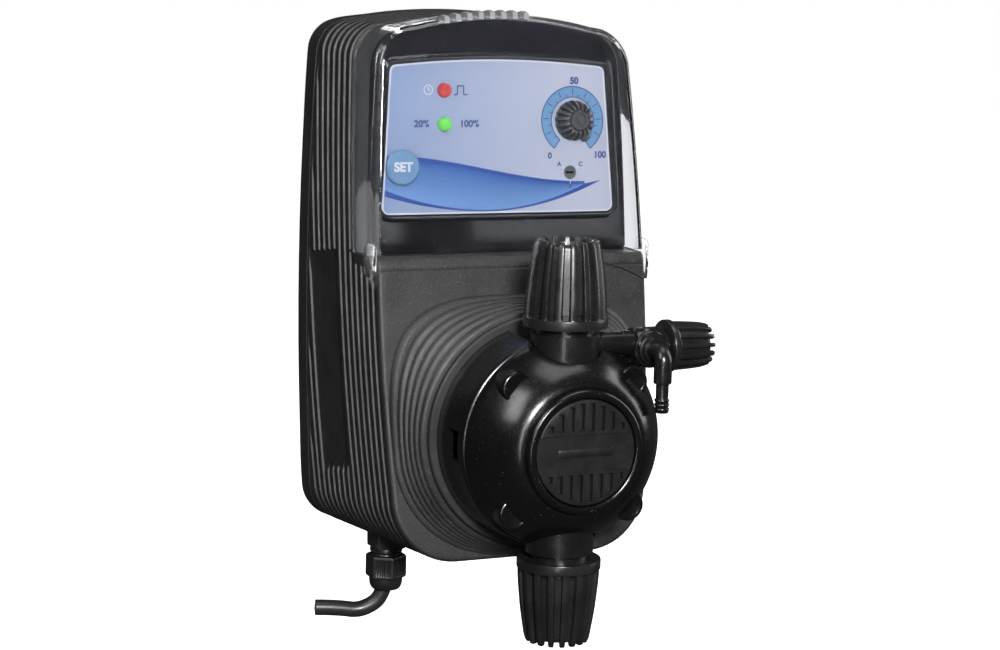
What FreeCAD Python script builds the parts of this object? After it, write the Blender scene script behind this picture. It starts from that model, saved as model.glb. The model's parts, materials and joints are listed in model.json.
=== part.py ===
"""Wall-mounted solenoid diaphragm dosing pump, in millimetres.

Frame: X to the right seen from the front, Y towards the wall (the wall is y = 0), Z up.
The head's centre line runs along -Y at x = 0, z = head_z.
"""
import FreeCAD, Part
import math
import os

import Sketcher
from FreeCAD import Placement, Rotation, Vector

X_AXIS = Vector(1, 0, 0)
Y_AXIS = Vector(0, 1, 0)
Z_AXIS = Vector(0, 0, 1)

doc = FreeCAD.newDocument("dosing_pump")

# ------------------------------------------------------------------ driving dimensions
DIMENSIONS = [
    # housing outline, rear and front sections (half widths at three heights)
    ("rear_w_low", 60.5), ("rear_w_mid", 62.5), ("rear_w_high", 60.0),
    ("front_w_low", 53.7), ("front_w_mid", 56.7), ("front_w_high", 51.7),
    ("z_low", -85.0), ("z_mid", 15.0), ("z_high", 88.0),
    ("rear_bottom", -107.0), ("front_bottom", -104.5),
    ("rear_top", 110.0), ("front_top", 108.5), ("top_sag", 4.5),
    ("rear_corner_high", 14.0), ("front_corner_high", 19.0),
    ("rear_corner_low", 17.0), ("front_corner_low", 27.0),
    ("front_section_y", 100.0),
    ("front_y0", 84.5), ("front_lean", 0.144),
    ("wall", 2.6),
    # rear cover and bracket
    ("cover_back", 1.0), ("cover_band", 10.0), ("gasket_gap", 1.2),
    ("bracket_t", 4.0), ("bracket_w", 76.0), ("bracket_h", 150.0),
    ("bolt_dx", 56.0), ("bolt_dz", 120.0), ("bolt_r", 2.75),
    # hinged clear cover
    ("lid_z", 14.3), ("lid_depth", 25.0), ("lid_t", 1.8), ("lid_gap", 0.6),
    ("pivot_y", -78.0), ("pivot_z", 10.0), ("pin_r", 1.5), ("ear_r", 5.0), ("ear_tip", 7.5),
    # control panel
    ("bezel_depth", 4.0), ("bezel_t", 2.0),
    ("panel_y0", -68.7), ("panel_lean", 4.0),
    ("label_top_w", 46.8), ("label_low_w", 50.8), ("label_top", 88.4), ("label_low", 29.6),
    ("label_t", 0.4), ("tray_t", 1.6),
    ("led_x", -23.8), ("red_z", 78.6), ("green_z", 65.2), ("led_r", 2.9),
    ("set_x", -42.3), ("set_z", 48.3), ("set_r", 7.0), ("set_travel", 0.7),
    ("dial_x", 32.6), ("dial_z", 66.6), ("knob_r", 8.2), ("knob_h", 6.6), ("pot_r", 8.0),
    ("shaft_r", 3.0), ("mode_x", 31.5), ("mode_z", 45.6), ("mode_r", 2.7),
    ("board_y", -52.0), ("board_t", 1.6), ("board_w", 88.0), ("board_h", 66.0), ("board_z", 24.0),
    # boss and head
    ("head_z", -52.0), ("boss_w", 55.3), ("boss_up", 51.0), ("boss_down", 51.5),
    ("boss_front", 106.0), ("boss_r", 47.7),
    ("plate_r", 45.8), ("plate_t", 3.1),
    ("diaphragm_r", 30.8), ("diaphragm_t", 3.0), ("chamber_r", 24.0), ("chamber_d", 2.5),
    ("head_r", 38.8), ("head_front", 127.0), ("nose_r", 33.0), ("nose_front", 138.0),
    ("skirt_rear", 109.4), ("skirt_r", 43.0), ("rim_r", 41.5), ("rim_y", 131.0), ("shell_t", 2.2),
    ("ring_r", 24.0), ("ring_front", 153.0), ("dome_bulge", 0.45), ("badge_r", 20.4), ("badge_t", 2.4),
    ("pocket_d", 24.0), ("pocket_r", 6.2), ("pocket_front", 142.5),
    ("stud_r", 2.5),
    # valve necks and tube nuts; heights are measured outward from the head centre
    ("neck_y", -131.0), ("neck_r", 13.2), ("neck_top", 42.5), ("thread_r", 11.2), ("thread_top", 57.0),
    ("valve_r", 7.5), ("valve_len", 27.0), ("port_r", 2.2), ("ball_r", 3.2), ("cage_r", 4.3),
    ("nut_base", 45.0), ("nut_end", 78.0), ("nut_flange_r", 16.3), ("nut_flange_t", 4.0),
    ("nut_mid_r", 15.0), ("nut_end_r", 12.6), ("nut_hole_r", 4.3), ("nut_ribs", 17.0),
    ("nozzle_flange_r", 10.5), ("ferrule_r", 8.8),
    ("fit", 0.05),
    # bleed valve
    ("bleed_x", 34.2), ("bleed_z", -16.5), ("arm_r", 4.8), ("bleed_r", 7.4),
    ("bleed_face", 140.0), ("bleed_end", 42.0), ("needle_r", 2.4),
    ("knob_flange_r", 10.3), ("knob_flange_t", 2.8), ("knob_len", 18.8), ("knob_end_r", 8.2),
    ("elbow_r", 3.5), ("elbow_y", -146.8), ("barb_r", 2.45),
    # solenoid
    ("yoke_r", 33.0), ("yoke_rear", 40.0), ("yoke_front", 100.0), ("yoke_t", 3.0),
    ("plunger_r", 11.5), ("rod_r", 4.0), ("stroke", 1.25),
    # cable gland and mains cable
    ("gland_x", -38.0), ("gland_y", -45.0), ("gland_boss", 13.0), ("gland_boss_z", -110.5),
    ("gland_thread_r", 5.8), ("gland_flat", 7.5), ("gland_nut_top", -113.4),
    ("gland_nut_z", -123.0), ("gland_dome_z", -128.4), ("cable_r", 3.3),
]


class Size:
    """A number together with the spreadsheet expression that gives it."""

    def __init__(self, text, number):
        self.text = text
        self.number = float(number)

    def _join(self, other, sign, number):
        return Size("(%s %s %s)" % (self.text, sign, text_of(other)), number)

    def __add__(self, other):
        return self._join(other, "+", self.number + number_of(other))

    def __sub__(self, other):
        return self._join(other, "-", self.number - number_of(other))

    def __mul__(self, other):
        return self._join(other, "*", self.number * number_of(other))

    def __truediv__(self, other):
        return self._join(other, "/", self.number / number_of(other))

    def __float__(self):
        return self.number


def text_of(value):
    return value.text if isinstance(value, Size) else repr(float(value))


def number_of(value):
    return value.number if isinstance(value, Size) else float(value)


def make_sheet():
    """Write the driving dimensions into the spreadsheet and return them as sizes."""
    sheet = doc.addObject("Spreadsheet::Sheet", "Dimensions")
    sizes = {}
    for row, (alias, number) in enumerate(DIMENSIONS, start=1):
        sheet.set("A%d" % row, alias)
        sheet.set("B%d" % row, str(number))
        sheet.setAlias("B%d" % row, alias)
    doc.recompute()
    for alias, _ in DIMENSIONS:
        sizes[alias] = Size("Dimensions." + alias, getattr(sheet, alias))
    return sizes


S = make_sheet()
N = {alias: size.number for alias, size in S.items()}
PARTS = []


def keep(obj, label, place=None):
    """Name a finished sub-part, place it and remember it for export."""
    obj.Label = label
    if place is not None:
        obj.Placement = place
    PARTS.append(obj)
    return obj


# ------------------------------------------------------------------ placements
def forward(x, y, z):
    """Local Z points out of the front (-Y)."""
    return Placement(Vector(x, y, z), Rotation(X_AXIS, 90))


def upright(x, y, z):
    return Placement(Vector(x, y, z), Rotation())


def downward(x, y, z):
    return Placement(Vector(x, y, z), Rotation(X_AXIS, 180))


def sideways(x, y, z):
    """Local Z points along +X."""
    return Placement(Vector(x, y, z), Rotation(Y_AXIS, 90))


def panel_y(z):
    return N["panel_y0"] + math.tan(math.radians(N["panel_lean"])) * z


def on_panel(x, z, out=0.0):
    """Local Z points out of the leaning panel; 'out' is the height above the label."""
    lean = math.radians(N["panel_lean"])
    normal = Vector(0, -math.cos(lean), math.sin(lean))
    base = Vector(x, panel_y(z), z) + normal * out
    return Placement(base, Rotation(X_AXIS, 90 - N["panel_lean"]))


# ------------------------------------------------------------------ sketch helpers
def origin_plane(body, role):
    return next(f for f in body.Origin.OriginFeatures if f.Role == role)


def pin_coordinate(sketch, index, kind, value):
    """Fix one coordinate of a line's start point, bound to its spreadsheet expression."""
    axis = -2 if kind == "DistanceX" else -1
    if abs(number_of(value)) < 1e-9:
        sketch.addConstraint(Sketcher.Constraint("PointOnObject", index, 1, axis))
        return
    row = sketch.addConstraint(Sketcher.Constraint(kind, -1, 1, index, 1, number_of(value)))
    if isinstance(value, Size):
        sketch.setExpression("Constraints[%d]" % row, value.text)


def polygon_sketch(body, role, points):
    """A closed polygon on one of the body's own origin planes."""
    sketch = body.newObject("Sketcher::SketchObject", body.Name + "_sketch")
    sketch.AttachmentSupport = [(origin_plane(body, role), "")]
    sketch.MapMode = "FlatFace"
    corners = [Vector(number_of(a), number_of(b), 0) for a, b in points]
    count = len(corners)
    for i in range(count):
        sketch.addGeometry(Part.LineSegment(corners[i], corners[(i + 1) % count]))
    for i in range(count):
        sketch.addConstraint(Sketcher.Constraint("Coincident", i, 2, (i + 1) % count, 1))
    for i, (a, b) in enumerate(points):
        pin_coordinate(sketch, i, "DistanceX", a)
        pin_coordinate(sketch, i, "DistanceY", b)
    return sketch


def turned(name, profile):
    """A solid turned about its own Z axis from (radius, height) corners."""
    body = doc.addObject("PartDesign::Body", name)
    sketch = polygon_sketch(body, "XZ_Plane", profile)
    turn = body.newObject("PartDesign::Revolution", name + "_turn")
    turn.Profile = sketch
    turn.ReferenceAxis = (sketch, ["V_Axis"])
    turn.Angle = 360
    doc.recompute()
    return body


def flute(body, half_width, inner, outer, low, high, count):
    """Cut axial grooves round a turned body: one pocket, then a polar pattern."""
    sketch = body.newObject("Sketcher::SketchObject", body.Name + "_flute")
    sketch.AttachmentSupport = [(origin_plane(body, "XZ_Plane"), "")]
    sketch.MapMode = "FlatFace"
    corners = [(inner[0], low), (outer, low), (outer, high), (inner[1], high)]
    points = [Vector(number_of(a), number_of(b), 0) for a, b in corners]
    for i in range(4):
        sketch.addGeometry(Part.LineSegment(points[i], points[(i + 1) % 4]))
    for i in range(4):
        sketch.addConstraint(Sketcher.Constraint("Coincident", i, 2, (i + 1) % 4, 1))
    for i, (a, b) in enumerate(corners):
        pin_coordinate(sketch, i, "DistanceX", a)
        pin_coordinate(sketch, i, "DistanceY", b)
    pocket = body.newObject("PartDesign::Pocket", body.Name + "_groove")
    pocket.Profile = sketch
    pocket.Midplane = True
    pocket.Length = 2 * half_width
    doc.recompute()
    before = body.Shape.Volume
    pattern = body.newObject("PartDesign::PolarPattern", body.Name + "_grooves")
    pattern.Originals = [pocket]
    pattern.Axis = (sketch, ["V_Axis"])
    pattern.Angle = 360
    pattern.Occurrences = count
    body.Tip = pattern
    doc.recompute()
    if body.Shape.Volume >= before:
        raise RuntimeError("the grooves of %s cut nothing" % body.Name)
    return body


# ------------------------------------------------------------------ primitive helpers
def bind(obj, **values):
    for prop, value in values.items():
        if isinstance(value, Size):
            obj.setExpression(prop, value.text)
        else:
            setattr(obj, prop, value)


def cylinder(name, radius, height, place):
    obj = doc.addObject("Part::Cylinder", name)
    bind(obj, Radius=radius, Height=height)
    obj.Placement = place
    return obj


def box(name, length, width, height, corner):
    obj = doc.addObject("Part::Box", name)
    bind(obj, Length=length, Width=width, Height=height)
    obj.Placement = upright(*corner)
    return obj


def joined(name, pieces):
    obj = doc.addObject("Part::MultiFuse", name)
    obj.Shapes = pieces
    return obj


def cut(name, base, tools):
    obj = doc.addObject("Part::Cut", name)
    obj.Base = base
    obj.Tool = tools[0] if len(tools) == 1 else joined(name + "_tools", tools)
    return obj


def group(name, solids):
    """Separate identical solids kept as one sub-part."""
    obj = doc.addObject("Part::Compound", name)
    obj.Links = solids
    return obj


def shape_object(name, shape, place=None):
    """A sub-part whose shape is worked out in code from the spreadsheet's sizes."""
    obj = doc.addObject("Part::Feature", name)
    obj.Shape = shape
    if place is not None:
        obj.Placement = place
    return obj


def rod(radius, start, end):
    """A plain cylinder shape from one point to another."""
    axis = end - start
    return Part.makeCylinder(radius, axis.Length, start, axis)


# ------------------------------------------------------------------ housing form
def front_y(z):
    """The leaning front plane of the housing."""
    return -N["front_y0"] + N["front_lean"] * z


def parabola(z, low, mid, high):
    """A half width through three heights."""
    a, b, c = N["z_low"], N["z_mid"], N["z_high"]
    return (low * (z - b) * (z - c) / ((a - b) * (a - c))
            + mid * (z - a) * (z - c) / ((b - a) * (b - c))
            + high * (z - a) * (z - b) / ((c - a) * (c - b)))


def section_points(end, inset):
    """Half of one housing section from bottom centre to top centre, as (x, z)."""
    widths = [N[end + "_w_" + level] for level in ("low", "mid", "high")]
    bottom = N[end + "_bottom"] + inset
    top = N[end + "_top"] - inset
    r_low = max(N[end + "_corner_low"] - inset, 3.0)
    r_high = max(N[end + "_corner_high"] - inset, 3.0)
    z_corner = top - N["top_sag"] - r_high
    x_corner = parabola(z_corner, *widths) - inset - r_high
    z_turn = bottom + r_low
    x_turn = parabola(z_turn, *widths) - inset - r_low
    points = [(x_turn * i / 3, bottom) for i in range(4)]
    for i in range(1, 6):
        angle = math.radians(-90 + 18 * i)
        points.append((x_turn + r_low * math.cos(angle), z_turn + r_low * math.sin(angle)))
    for i in range(1, 8):
        z = z_turn + (z_corner - z_turn) * i / 8
        points.append((parabola(z, *widths) - inset, z))
    for i in range(0, 6):
        angle = math.radians(15 * i)
        points.append((x_corner + r_high * math.cos(angle), z_corner + r_high * math.sin(angle)))
    for i in range(4, -1, -1):
        x = x_corner * i / 5
        points.append((x, top - N["top_sag"] * (x / x_corner) ** 2))
    return points


def section_wire(end, y, inset):
    half = section_points(end, inset)
    mirrored = [(-x, z) for x, z in reversed(half[1:-1])]
    curve = Part.BSplineCurve()
    curve.interpolate([Vector(x, y, z) for x, z in half + mirrored], PeriodicFlag=True)
    return Part.Wire([curve.toShape()])


def housing_form(inset=0.0):
    """The whole housing as one solid, from the wall to well past its front, shrunk by 'inset'."""
    rear = section_wire("rear", 0.0, inset)
    front = section_wire("front", -N["front_section_y"] - 10.0, inset)
    return Part.makeLoft([rear, front], True, True)


def slab(near, far, leaning=True):
    """Everything between two planes: distances behind the front plane, or plain depths."""
    reach = 200.0
    corners = []
    for depth, z in ((near, -reach), (near, reach), (far, reach), (far, -reach)):
        y = front_y(z) + depth if leaning else -depth
        corners.append(Vector(-reach, y, z))
    face = Part.Face(Part.makePolygon(corners + corners[:1]))
    return face.extrude(Vector(2 * reach, 0, 0))


def behind(depth):
    return slab(depth, 300.0)


def in_front(depth):
    return slab(-200.0, depth)


def band(y_near, y_far):
    """Everything between two planes parallel to the wall."""
    return Part.makeBox(400, y_near - y_far, 400, Vector(-200, y_far, -200))


def above(z):
    return Part.makeBox(400, 400, 300, Vector(-200, -300, z))


def below(z):
    return Part.makeBox(400, 400, 300, Vector(-200, -300, z - 300))


# ------------------------------------------------------------------ rear cover, bracket, gasket
SCREW_SITES = [(-50.5, 90.0), (50.5, 90.0), (-53.6, -86.0), (53.6, -86.0)]


def wall_bracket():
    plate = box("bracket_plate", S["bracket_w"], S["bracket_t"], S["bracket_h"],
                (-N["bracket_w"] / 2, -N["bracket_t"], -N["bracket_h"] / 2 + 5))
    holes = []
    for i, (sx, sz) in enumerate([(-1, -1), (1, -1), (1, 1), (-1, 1)]):
        holes.append(cylinder("bracket_hole_%d" % i, S["bolt_r"], S["bracket_t"] + 2.0,
                              forward(sx * N["bolt_dx"] / 2, 1.0, sz * N["bolt_dz"] / 2)))
    keep(cut("wall_bracket", plate, holes), "wall_bracket")


def rear_cover():
    depth = N["cover_band"]
    form = housing_form().common(band(-N["cover_back"], -depth))
    inside = housing_form(N["wall"]).common(band(-8.4, -depth - 1))
    seat = Part.makeBox(N["bracket_w"] + 1.0, N["bracket_t"] + 0.5, N["bracket_h"] + 1.0,
                        Vector(-N["bracket_w"] / 2 - 0.5, -N["bracket_t"] - 0.5, -N["bracket_h"] / 2 + 4.5))
    shape = form.cut(inside).cut(seat)
    posts = [rod(5.0, Vector(x, -8.0, z), Vector(x, -depth, z)) for x, z in SCREW_SITES]
    shape = shape.fuse(posts)
    for x, z in SCREW_SITES:
        shape = shape.cut(rod(3.4, Vector(x, 0, z), Vector(x, -4.0, z)))
        shape = shape.cut(rod(1.8, Vector(x, -3.0, z), Vector(x, -depth - 1, z)))
    keep(shape_object("rear_cover", shape.removeSplitter()), "rear_cover")


def rear_gasket():
    start = N["cover_band"]
    ring = housing_form(1.4).cut(housing_form(N["wall"] + 0.6))
    shape = ring.common(band(-start, -start - N["gasket_gap"]))
    keep(shape_object("rear_gasket", shape), "rear_gasket")


def housing_screws():
    screws = []
    for i, (x, z) in enumerate(SCREW_SITES):
        head = cylinder("housing_screw_head_%d" % i, 3.0, 2.4, forward(x, -1.6, z))
        shank = cylinder("housing_screw_shank_%d" % i, 1.45, 20.0, forward(x, -3.9, z))
        screws.append(joined("housing_screw_%d" % i, [head, shank]))
    keep(group("housing_screws", screws), "housing_screws")


# ------------------------------------------------------------------ front housing
def boss_outline(share, depth_shift, inset=0.0):
    """A section of the boss: share 0 is its base on the leaning face, 1 its round front."""
    count = 40
    points = []
    for i in range(count):
        angle = 2 * math.pi * i / count
        c, s = math.cos(angle), math.sin(angle)
        power = 3.4 if s > 0 else 2.4
        reach_z = N["boss_up"] if s > 0 else N["boss_down"]
        scale = (abs(c) ** power + abs(s) ** power) ** (-1.0 / power)
        square = Vector((N["boss_w"] - inset) * c * scale, 0, N["head_z"] + (reach_z - inset) * s * scale)
        circle = Vector((N["boss_r"] - inset) * c, 0, N["head_z"] + (N["boss_r"] - inset) * s)
        x = square.x + (circle.x - square.x) * share
        z = square.z + (circle.z - square.z) * share
        lean = front_y(z)
        y = lean + (-N["boss_front"] - lean) * share + depth_shift
        points.append(Vector(x, y, z))
    curve = Part.BSplineCurve()
    curve.interpolate(points, PeriodicFlag=True)
    return Part.Wire([curve.toShape()])


def boss_form(inset, back_shift, front_shift):
    wires = [boss_outline(0.0, back_shift, inset), boss_outline(1.0, front_shift, inset)]
    return Part.makeLoft(wires, True, True)


def ear_pocket(side, gap):
    """The room at one lower corner of the hinged cover in which its ear turns."""
    x = 54.2 - gap
    low = Vector(side * x, N["pivot_y"], N["pivot_z"])
    reach = N["ear_tip"] + 1.5 + gap
    drum = rod(reach, low, low + Vector(side * 12, 0, 0))
    width = 12.0
    start = Vector(x if side > 0 else -x - width, N["pivot_y"] - 30, N["pivot_z"] - reach)
    notch = Part.makeBox(width, 30, 2 * reach, start)
    return drum.fuse(notch)


def front_housing():
    wall = N["wall"]
    rear_y = -N["cover_band"] - N["gasket_gap"]
    lid_z = N["lid_z"] - 0.3
    step = N["lid_depth"] + 0.5
    inset = N["lid_t"] + N["lid_gap"]
    rim = N["bezel_depth"] + N["bezel_t"]
    outer = housing_form().common(behind(0.0)).common(band(rear_y, -200))
    outer = outer.cut(above(lid_z).common(in_front(rim)))
    outer = outer.cut(above(lid_z).common(in_front(step)).cut(housing_form(inset)))
    outer = outer.fuse(boss_form(0.0, 1.0, 0.0))
    room = housing_form(wall)
    low_room = room.common(behind(wall)).common(below(lid_z - wall))
    high_room = room.common(behind(step + wall))
    front_room = housing_form(inset + wall).common(above(lid_z + wall))
    shape = outer.cut(low_room).cut(high_room).cut(front_room)
    shape = shape.cut(boss_form(3.4, 6.0, 4.5))
    corners = housing_form(0.3).common(behind(0.3)).cut(behind(18.0))
    for side in (-1, 1):
        block = Part.makeBox(11, 30, lid_z + 1.0, Vector(48.5 if side > 0 else -59.5, -90, -1.0))
        shape = shape.fuse(corners.common(block))
    for side in (-1, 1):
        shape = shape.cut(ear_pocket(side, 0.0))
        shape = shape.cut(rod(N["pin_r"], Vector(side * 49.5, N["pivot_y"], N["pivot_z"]),
                              Vector(side * 60, N["pivot_y"], N["pivot_z"])))
    shape = shape.cut(panel_slab(2.7, -N["label_t"] - N["tray_t"] - 0.2, 20.0))
    # the slope under the clear cover's lower edge, which its corner needs when it swings open
    y_low, y_high = front_y(9.0), front_y(14.0) + 3.4
    slope = Part.makePolygon([Vector(-70, y_low - 0.2, 9.0), Vector(-70, y_high, 14.2),
                              Vector(-70, y_low - 8, 14.2), Vector(-70, y_low - 0.2, 9.0)])
    shape = shape.cut(Part.Face(slope).extrude(Vector(140, 0, 0)))
    shape = shape.cut(rod(20.0, Vector(0, -95, N["head_z"]), Vector(0, -110, N["head_z"])))
    for dx, dz in HEAD_SITES:
        shape = shape.cut(rod(N["stud_r"] + 0.1, Vector(dx, -98, N["head_z"] + dz),
                              Vector(dx, -110, N["head_z"] + dz)))
    posts = [rod(4.6, Vector(x, rear_y, z), Vector(x, -30.0, z)) for x, z in SCREW_SITES]
    shape = shape.fuse(posts)
    for x, z in SCREW_SITES:
        shape = shape.cut(rod(1.5, Vector(x, rear_y + 1, z), Vector(x, -26.0, z)))
    half = N["gland_boss"] / 2
    foot = Part.makeBox(2 * half, 2 * half, 10.0,
                        Vector(N["gland_x"] - half, N["gland_y"] - half, N["gland_boss_z"]))
    shape = shape.fuse(foot)
    shape = shape.cut(rod(N["gland_thread_r"] + 0.1, Vector(N["gland_x"], N["gland_y"], -90),
                          Vector(N["gland_x"], N["gland_y"], -120)))
    keep(shape_object("front_housing", shape.removeSplitter()), "front_housing")


# ------------------------------------------------------------------ clear cover
def clear_cover():
    shell = housing_form().common(behind(0.0)).common(in_front(N["lid_depth"]))
    inside = housing_form(N["lid_t"]).common(behind(N["lid_t"]))
    shape = shell.cut(inside).common(above(N["lid_z"]))
    pivot_y, pivot_z = N["pivot_y"], N["pivot_z"]
    flank = housing_form(0.2).cut(housing_form(2.6)).common(behind(0.1))
    for side in (-1, 1):
        centre = Vector(0, pivot_y, pivot_z)
        eye = rod(N["ear_r"], centre, centre + Vector(side * 70, 0, 0))
        tip = [Vector(0, pivot_y - 4.6, pivot_z - 1.5), Vector(0, pivot_y - 3.2, pivot_z - N["ear_tip"]),
               Vector(0, pivot_y + 4.4, pivot_z - 1.5), Vector(0, pivot_y + 4.9, pivot_z + 6.0),
               Vector(0, pivot_y - 4.9, pivot_z + 6.0)]
        blade = Part.Face(Part.makePolygon(tip + tip[:1])).extrude(Vector(side * 70, 0, 0))
        ear = eye.fuse(blade).common(flank)
        shape = shape.fuse(ear)
    hole = rod(N["pin_r"] + N["fit"], Vector(-80, pivot_y, pivot_z), Vector(80, pivot_y, pivot_z))
    shape = shape.cut(hole)
    grips = []
    for i in range(8):
        x = -26.5 + 4.9 * i
        z = N["front_top"] - N["top_sag"] * (x / 36.0) ** 2 - 0.8
        grips.append(Part.makeBox(2.2, 9.0, 3.0, Vector(x, front_y(z) + 0.6, z)))
    shape = shape.fuse(grips)
    keep(shape_object("clear_cover", shape.removeSplitter()), "clear_cover")


def cover_hinge_pins():
    pins = []
    for side in (-1, 1):
        start = 49.5 if side > 0 else -57.3
        pin = cylinder("hinge_pin_%d" % (side + 1), S["pin_r"], 7.8,
                       sideways(start, N["pivot_y"], N["pivot_z"]))
        pins.append(pin)
    keep(group("cover_hinge_pins", pins), "cover_hinge_pins")


# ------------------------------------------------------------------ control panel
def panel_outline(grow, out):
    """The trapezoid of the label with rounded corners and an arched top, in the leaning plane."""
    top_w, low_w = N["label_top_w"] + grow, N["label_low_w"] + grow
    high, low = N["label_top"] + grow, N["label_low"] - grow
    r = 3.0 + grow
    crown = 2.6

    def at(x, z):
        return Vector(x, panel_y(z), z)

    k = r * (1 - math.sqrt(0.5))
    edges = []
    edges.append(Part.LineSegment(at(-low_w + r, low), at(low_w - r, low)).toShape())
    edges.append(Part.Arc(at(low_w - r, low), at(low_w - k, low + k), at(low_w - 0.2, low + r)).toShape())
    edges.append(Part.LineSegment(at(low_w - 0.2, low + r), at(top_w, high - r)).toShape())
    edges.append(Part.Arc(at(top_w, high - r), at(top_w - k, high - k), at(top_w - r, high)).toShape())
    edges.append(Part.Arc(at(top_w - r, high), at(0, high + crown), at(-top_w + r, high)).toShape())
    edges.append(Part.Arc(at(-top_w + r, high), at(-top_w + k, high - k), at(-top_w, high - r)).toShape())
    edges.append(Part.LineSegment(at(-top_w, high - r), at(-low_w + 0.2, low + r)).toShape())
    edges.append(Part.Arc(at(-low_w + 0.2, low + r), at(-low_w + k, low + k), at(-low_w + r, low)).toShape())
    wire = Part.Wire(edges)
    wire.translate(panel_normal() * out)
    return Part.Face(wire)


def panel_normal():
    lean = math.radians(N["panel_lean"])
    return Vector(0, -math.cos(lean), math.sin(lean))


def panel_slab(grow, low, high):
    return panel_outline(grow, low).extrude(panel_normal() * (high - low))


def panel_hole(x, z, radius):
    place = on_panel(x, z, -8.0)
    tool = Part.makeCylinder(radius, 16.0)
    tool.Placement = place
    return tool


def panel_holes(clearance):
    """Holes for the lamps, the dial shaft, the range selector and the set button's stem."""
    return [panel_hole(N["led_x"], N["red_z"], N["led_r"] + clearance),
            panel_hole(N["led_x"], N["green_z"], N["led_r"] + clearance),
            panel_hole(N["dial_x"], N["dial_z"], N["shaft_r"] + 1.0),
            panel_hole(N["mode_x"], N["mode_z"], N["mode_r"] + clearance)]


def panel_bezel():
    depth, thick = N["bezel_depth"], N["bezel_t"]
    face = housing_form(N["lid_t"] + N["lid_gap"] + 0.4)
    face = face.common(slab(depth, depth + thick)).common(above(N["lid_z"] + 0.1))
    back = -(N["label_t"] + N["tray_t"])
    tray = panel_slab(2.4, back, 20.0).common(behind(depth + 0.6))
    bead = panel_slab(2.4, 0.0, 20.0).cut(panel_slab(0.7, -1.0, 21.0)).common(slab(depth - 1.1, depth + 1.0))
    shape = face.fuse(tray).fuse(bead).cut(panel_slab(0.6, -N["label_t"], 20.0))
    shape = shape.cut(panel_holes(0.15))
    shape = shape.cut(panel_hole(N["set_x"], N["set_z"], 2.4))
    for x, z in BOARD_SITES:
        start = Vector(x, N["board_y"] - 0.05, z)
        shape = shape.fuse(rod(3.0, start, Vector(x, panel_y(z) + 1.0, z)))
        shape = shape.cut(rod(1.25, start + Vector(0, 1, 0), Vector(x, N["board_y"] - 7.0, z)))
    keep(shape_object("panel_bezel", shape.removeSplitter()), "panel_bezel")


def panel_label():
    shape = panel_slab(0.0, -N["label_t"], 0.0).cut(panel_holes(0.1))
    shape = shape.cut(panel_hole(N["set_x"], N["set_z"], 2.4))
    keep(shape_object("panel_label", shape), "panel_label")


def lamps():
    dome = [(0, 0), (S["led_r"], 0), (S["led_r"], 10.6), (S["led_r"] * 0.92, 11.7),
            (S["led_r"] * 0.7, 12.6), (S["led_r"] * 0.38, 13.15), (0, 13.3)]
    keep(turned("pulse_lamp", dome), "pulse_lamp", on_panel(N["led_x"], N["red_z"], -10.0))
    keep(turned("power_lamp", dome), "power_lamp", on_panel(N["led_x"], N["green_z"], -10.0))


def set_button():
    """A disc on a short stem over its switch."""
    profile = [(0, 0), (2.2, 0), (2.2, 3.4), (S["set_r"], 3.4), (S["set_r"], 4.5),
               (S["set_r"] - 0.6, 5.0), (0, 5.0)]
    keep(turned("set_button", profile), "set_button", on_panel(N["set_x"], N["set_z"], -2.5))
    cap = turned("set_switch", [(0, 0), (1.7, 0), (1.7, 1.2), (3.1, 1.2), (3.1, 5.0), (0, 5.0)])
    keep(cap, "set_switch", Placement(on_panel(N["set_x"], N["set_z"], -3.3).Base,
                                      Rotation(X_AXIS, -90 - N["panel_lean"])))


def flow_knob():
    height = S["knob_h"]
    profile = [(S["shaft_r"] + S["fit"], 0), (S["knob_r"], 0), (S["knob_r"], height - 0.9),
               (S["knob_r"] - 0.8, height), (S["shaft_r"] + 1.6, height),
               (S["shaft_r"] + 1.6, height - 0.4), (S["shaft_r"] + S["fit"], height - 0.4)]
    knob = turned("flow_knob", profile)
    flute(knob, 0.75, (S["knob_r"] - 1.0, S["knob_r"] - 1.0), S["knob_r"] + 2.0, 1.2, height + 1.0, 20)
    keep(knob, "flow_knob", on_panel(N["dial_x"], N["dial_z"], 0.6))
    shaft = turned("potentiometer_shaft", [(0, 0), (S["shaft_r"], 0), (S["shaft_r"], 8.3), (0, 8.3)])
    keep(shaft, "potentiometer_shaft", on_panel(N["dial_x"], N["dial_z"], -1.6))
    case = turned("potentiometer", [(0, 0), (S["pot_r"], 0), (S["pot_r"], 5.4), (3.6, 5.4), (3.6, 6.6), (0, 6.6)])
    keep(case, "potentiometer", on_panel(N["dial_x"], N["dial_z"], -8.4))


def range_selector():
    disc = turned("selector_disc", [(0, 0), (S["mode_r"], 0), (S["mode_r"], 8.0), (0, 8.0)])
    slot = box("selector_slot", 3.6, 0.9, 1.0, (-1.8, -0.45, 7.4))
    whole = cut("range_selector", disc, [slot])
    keep(whole, "range_selector", on_panel(N["mode_x"], N["mode_z"], -8.3))
    case = turned("selector_switch", [(0, 0), (4.6, 0), (4.6, 3.6), (0, 3.6)])
    keep(case, "selector_switch", on_panel(N["mode_x"], N["mode_z"], -12.0))


BOARD_SITES = [(-40.0, 28.0), (40.0, 28.0), (-40.0, 86.0), (40.0, 86.0)]


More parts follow.
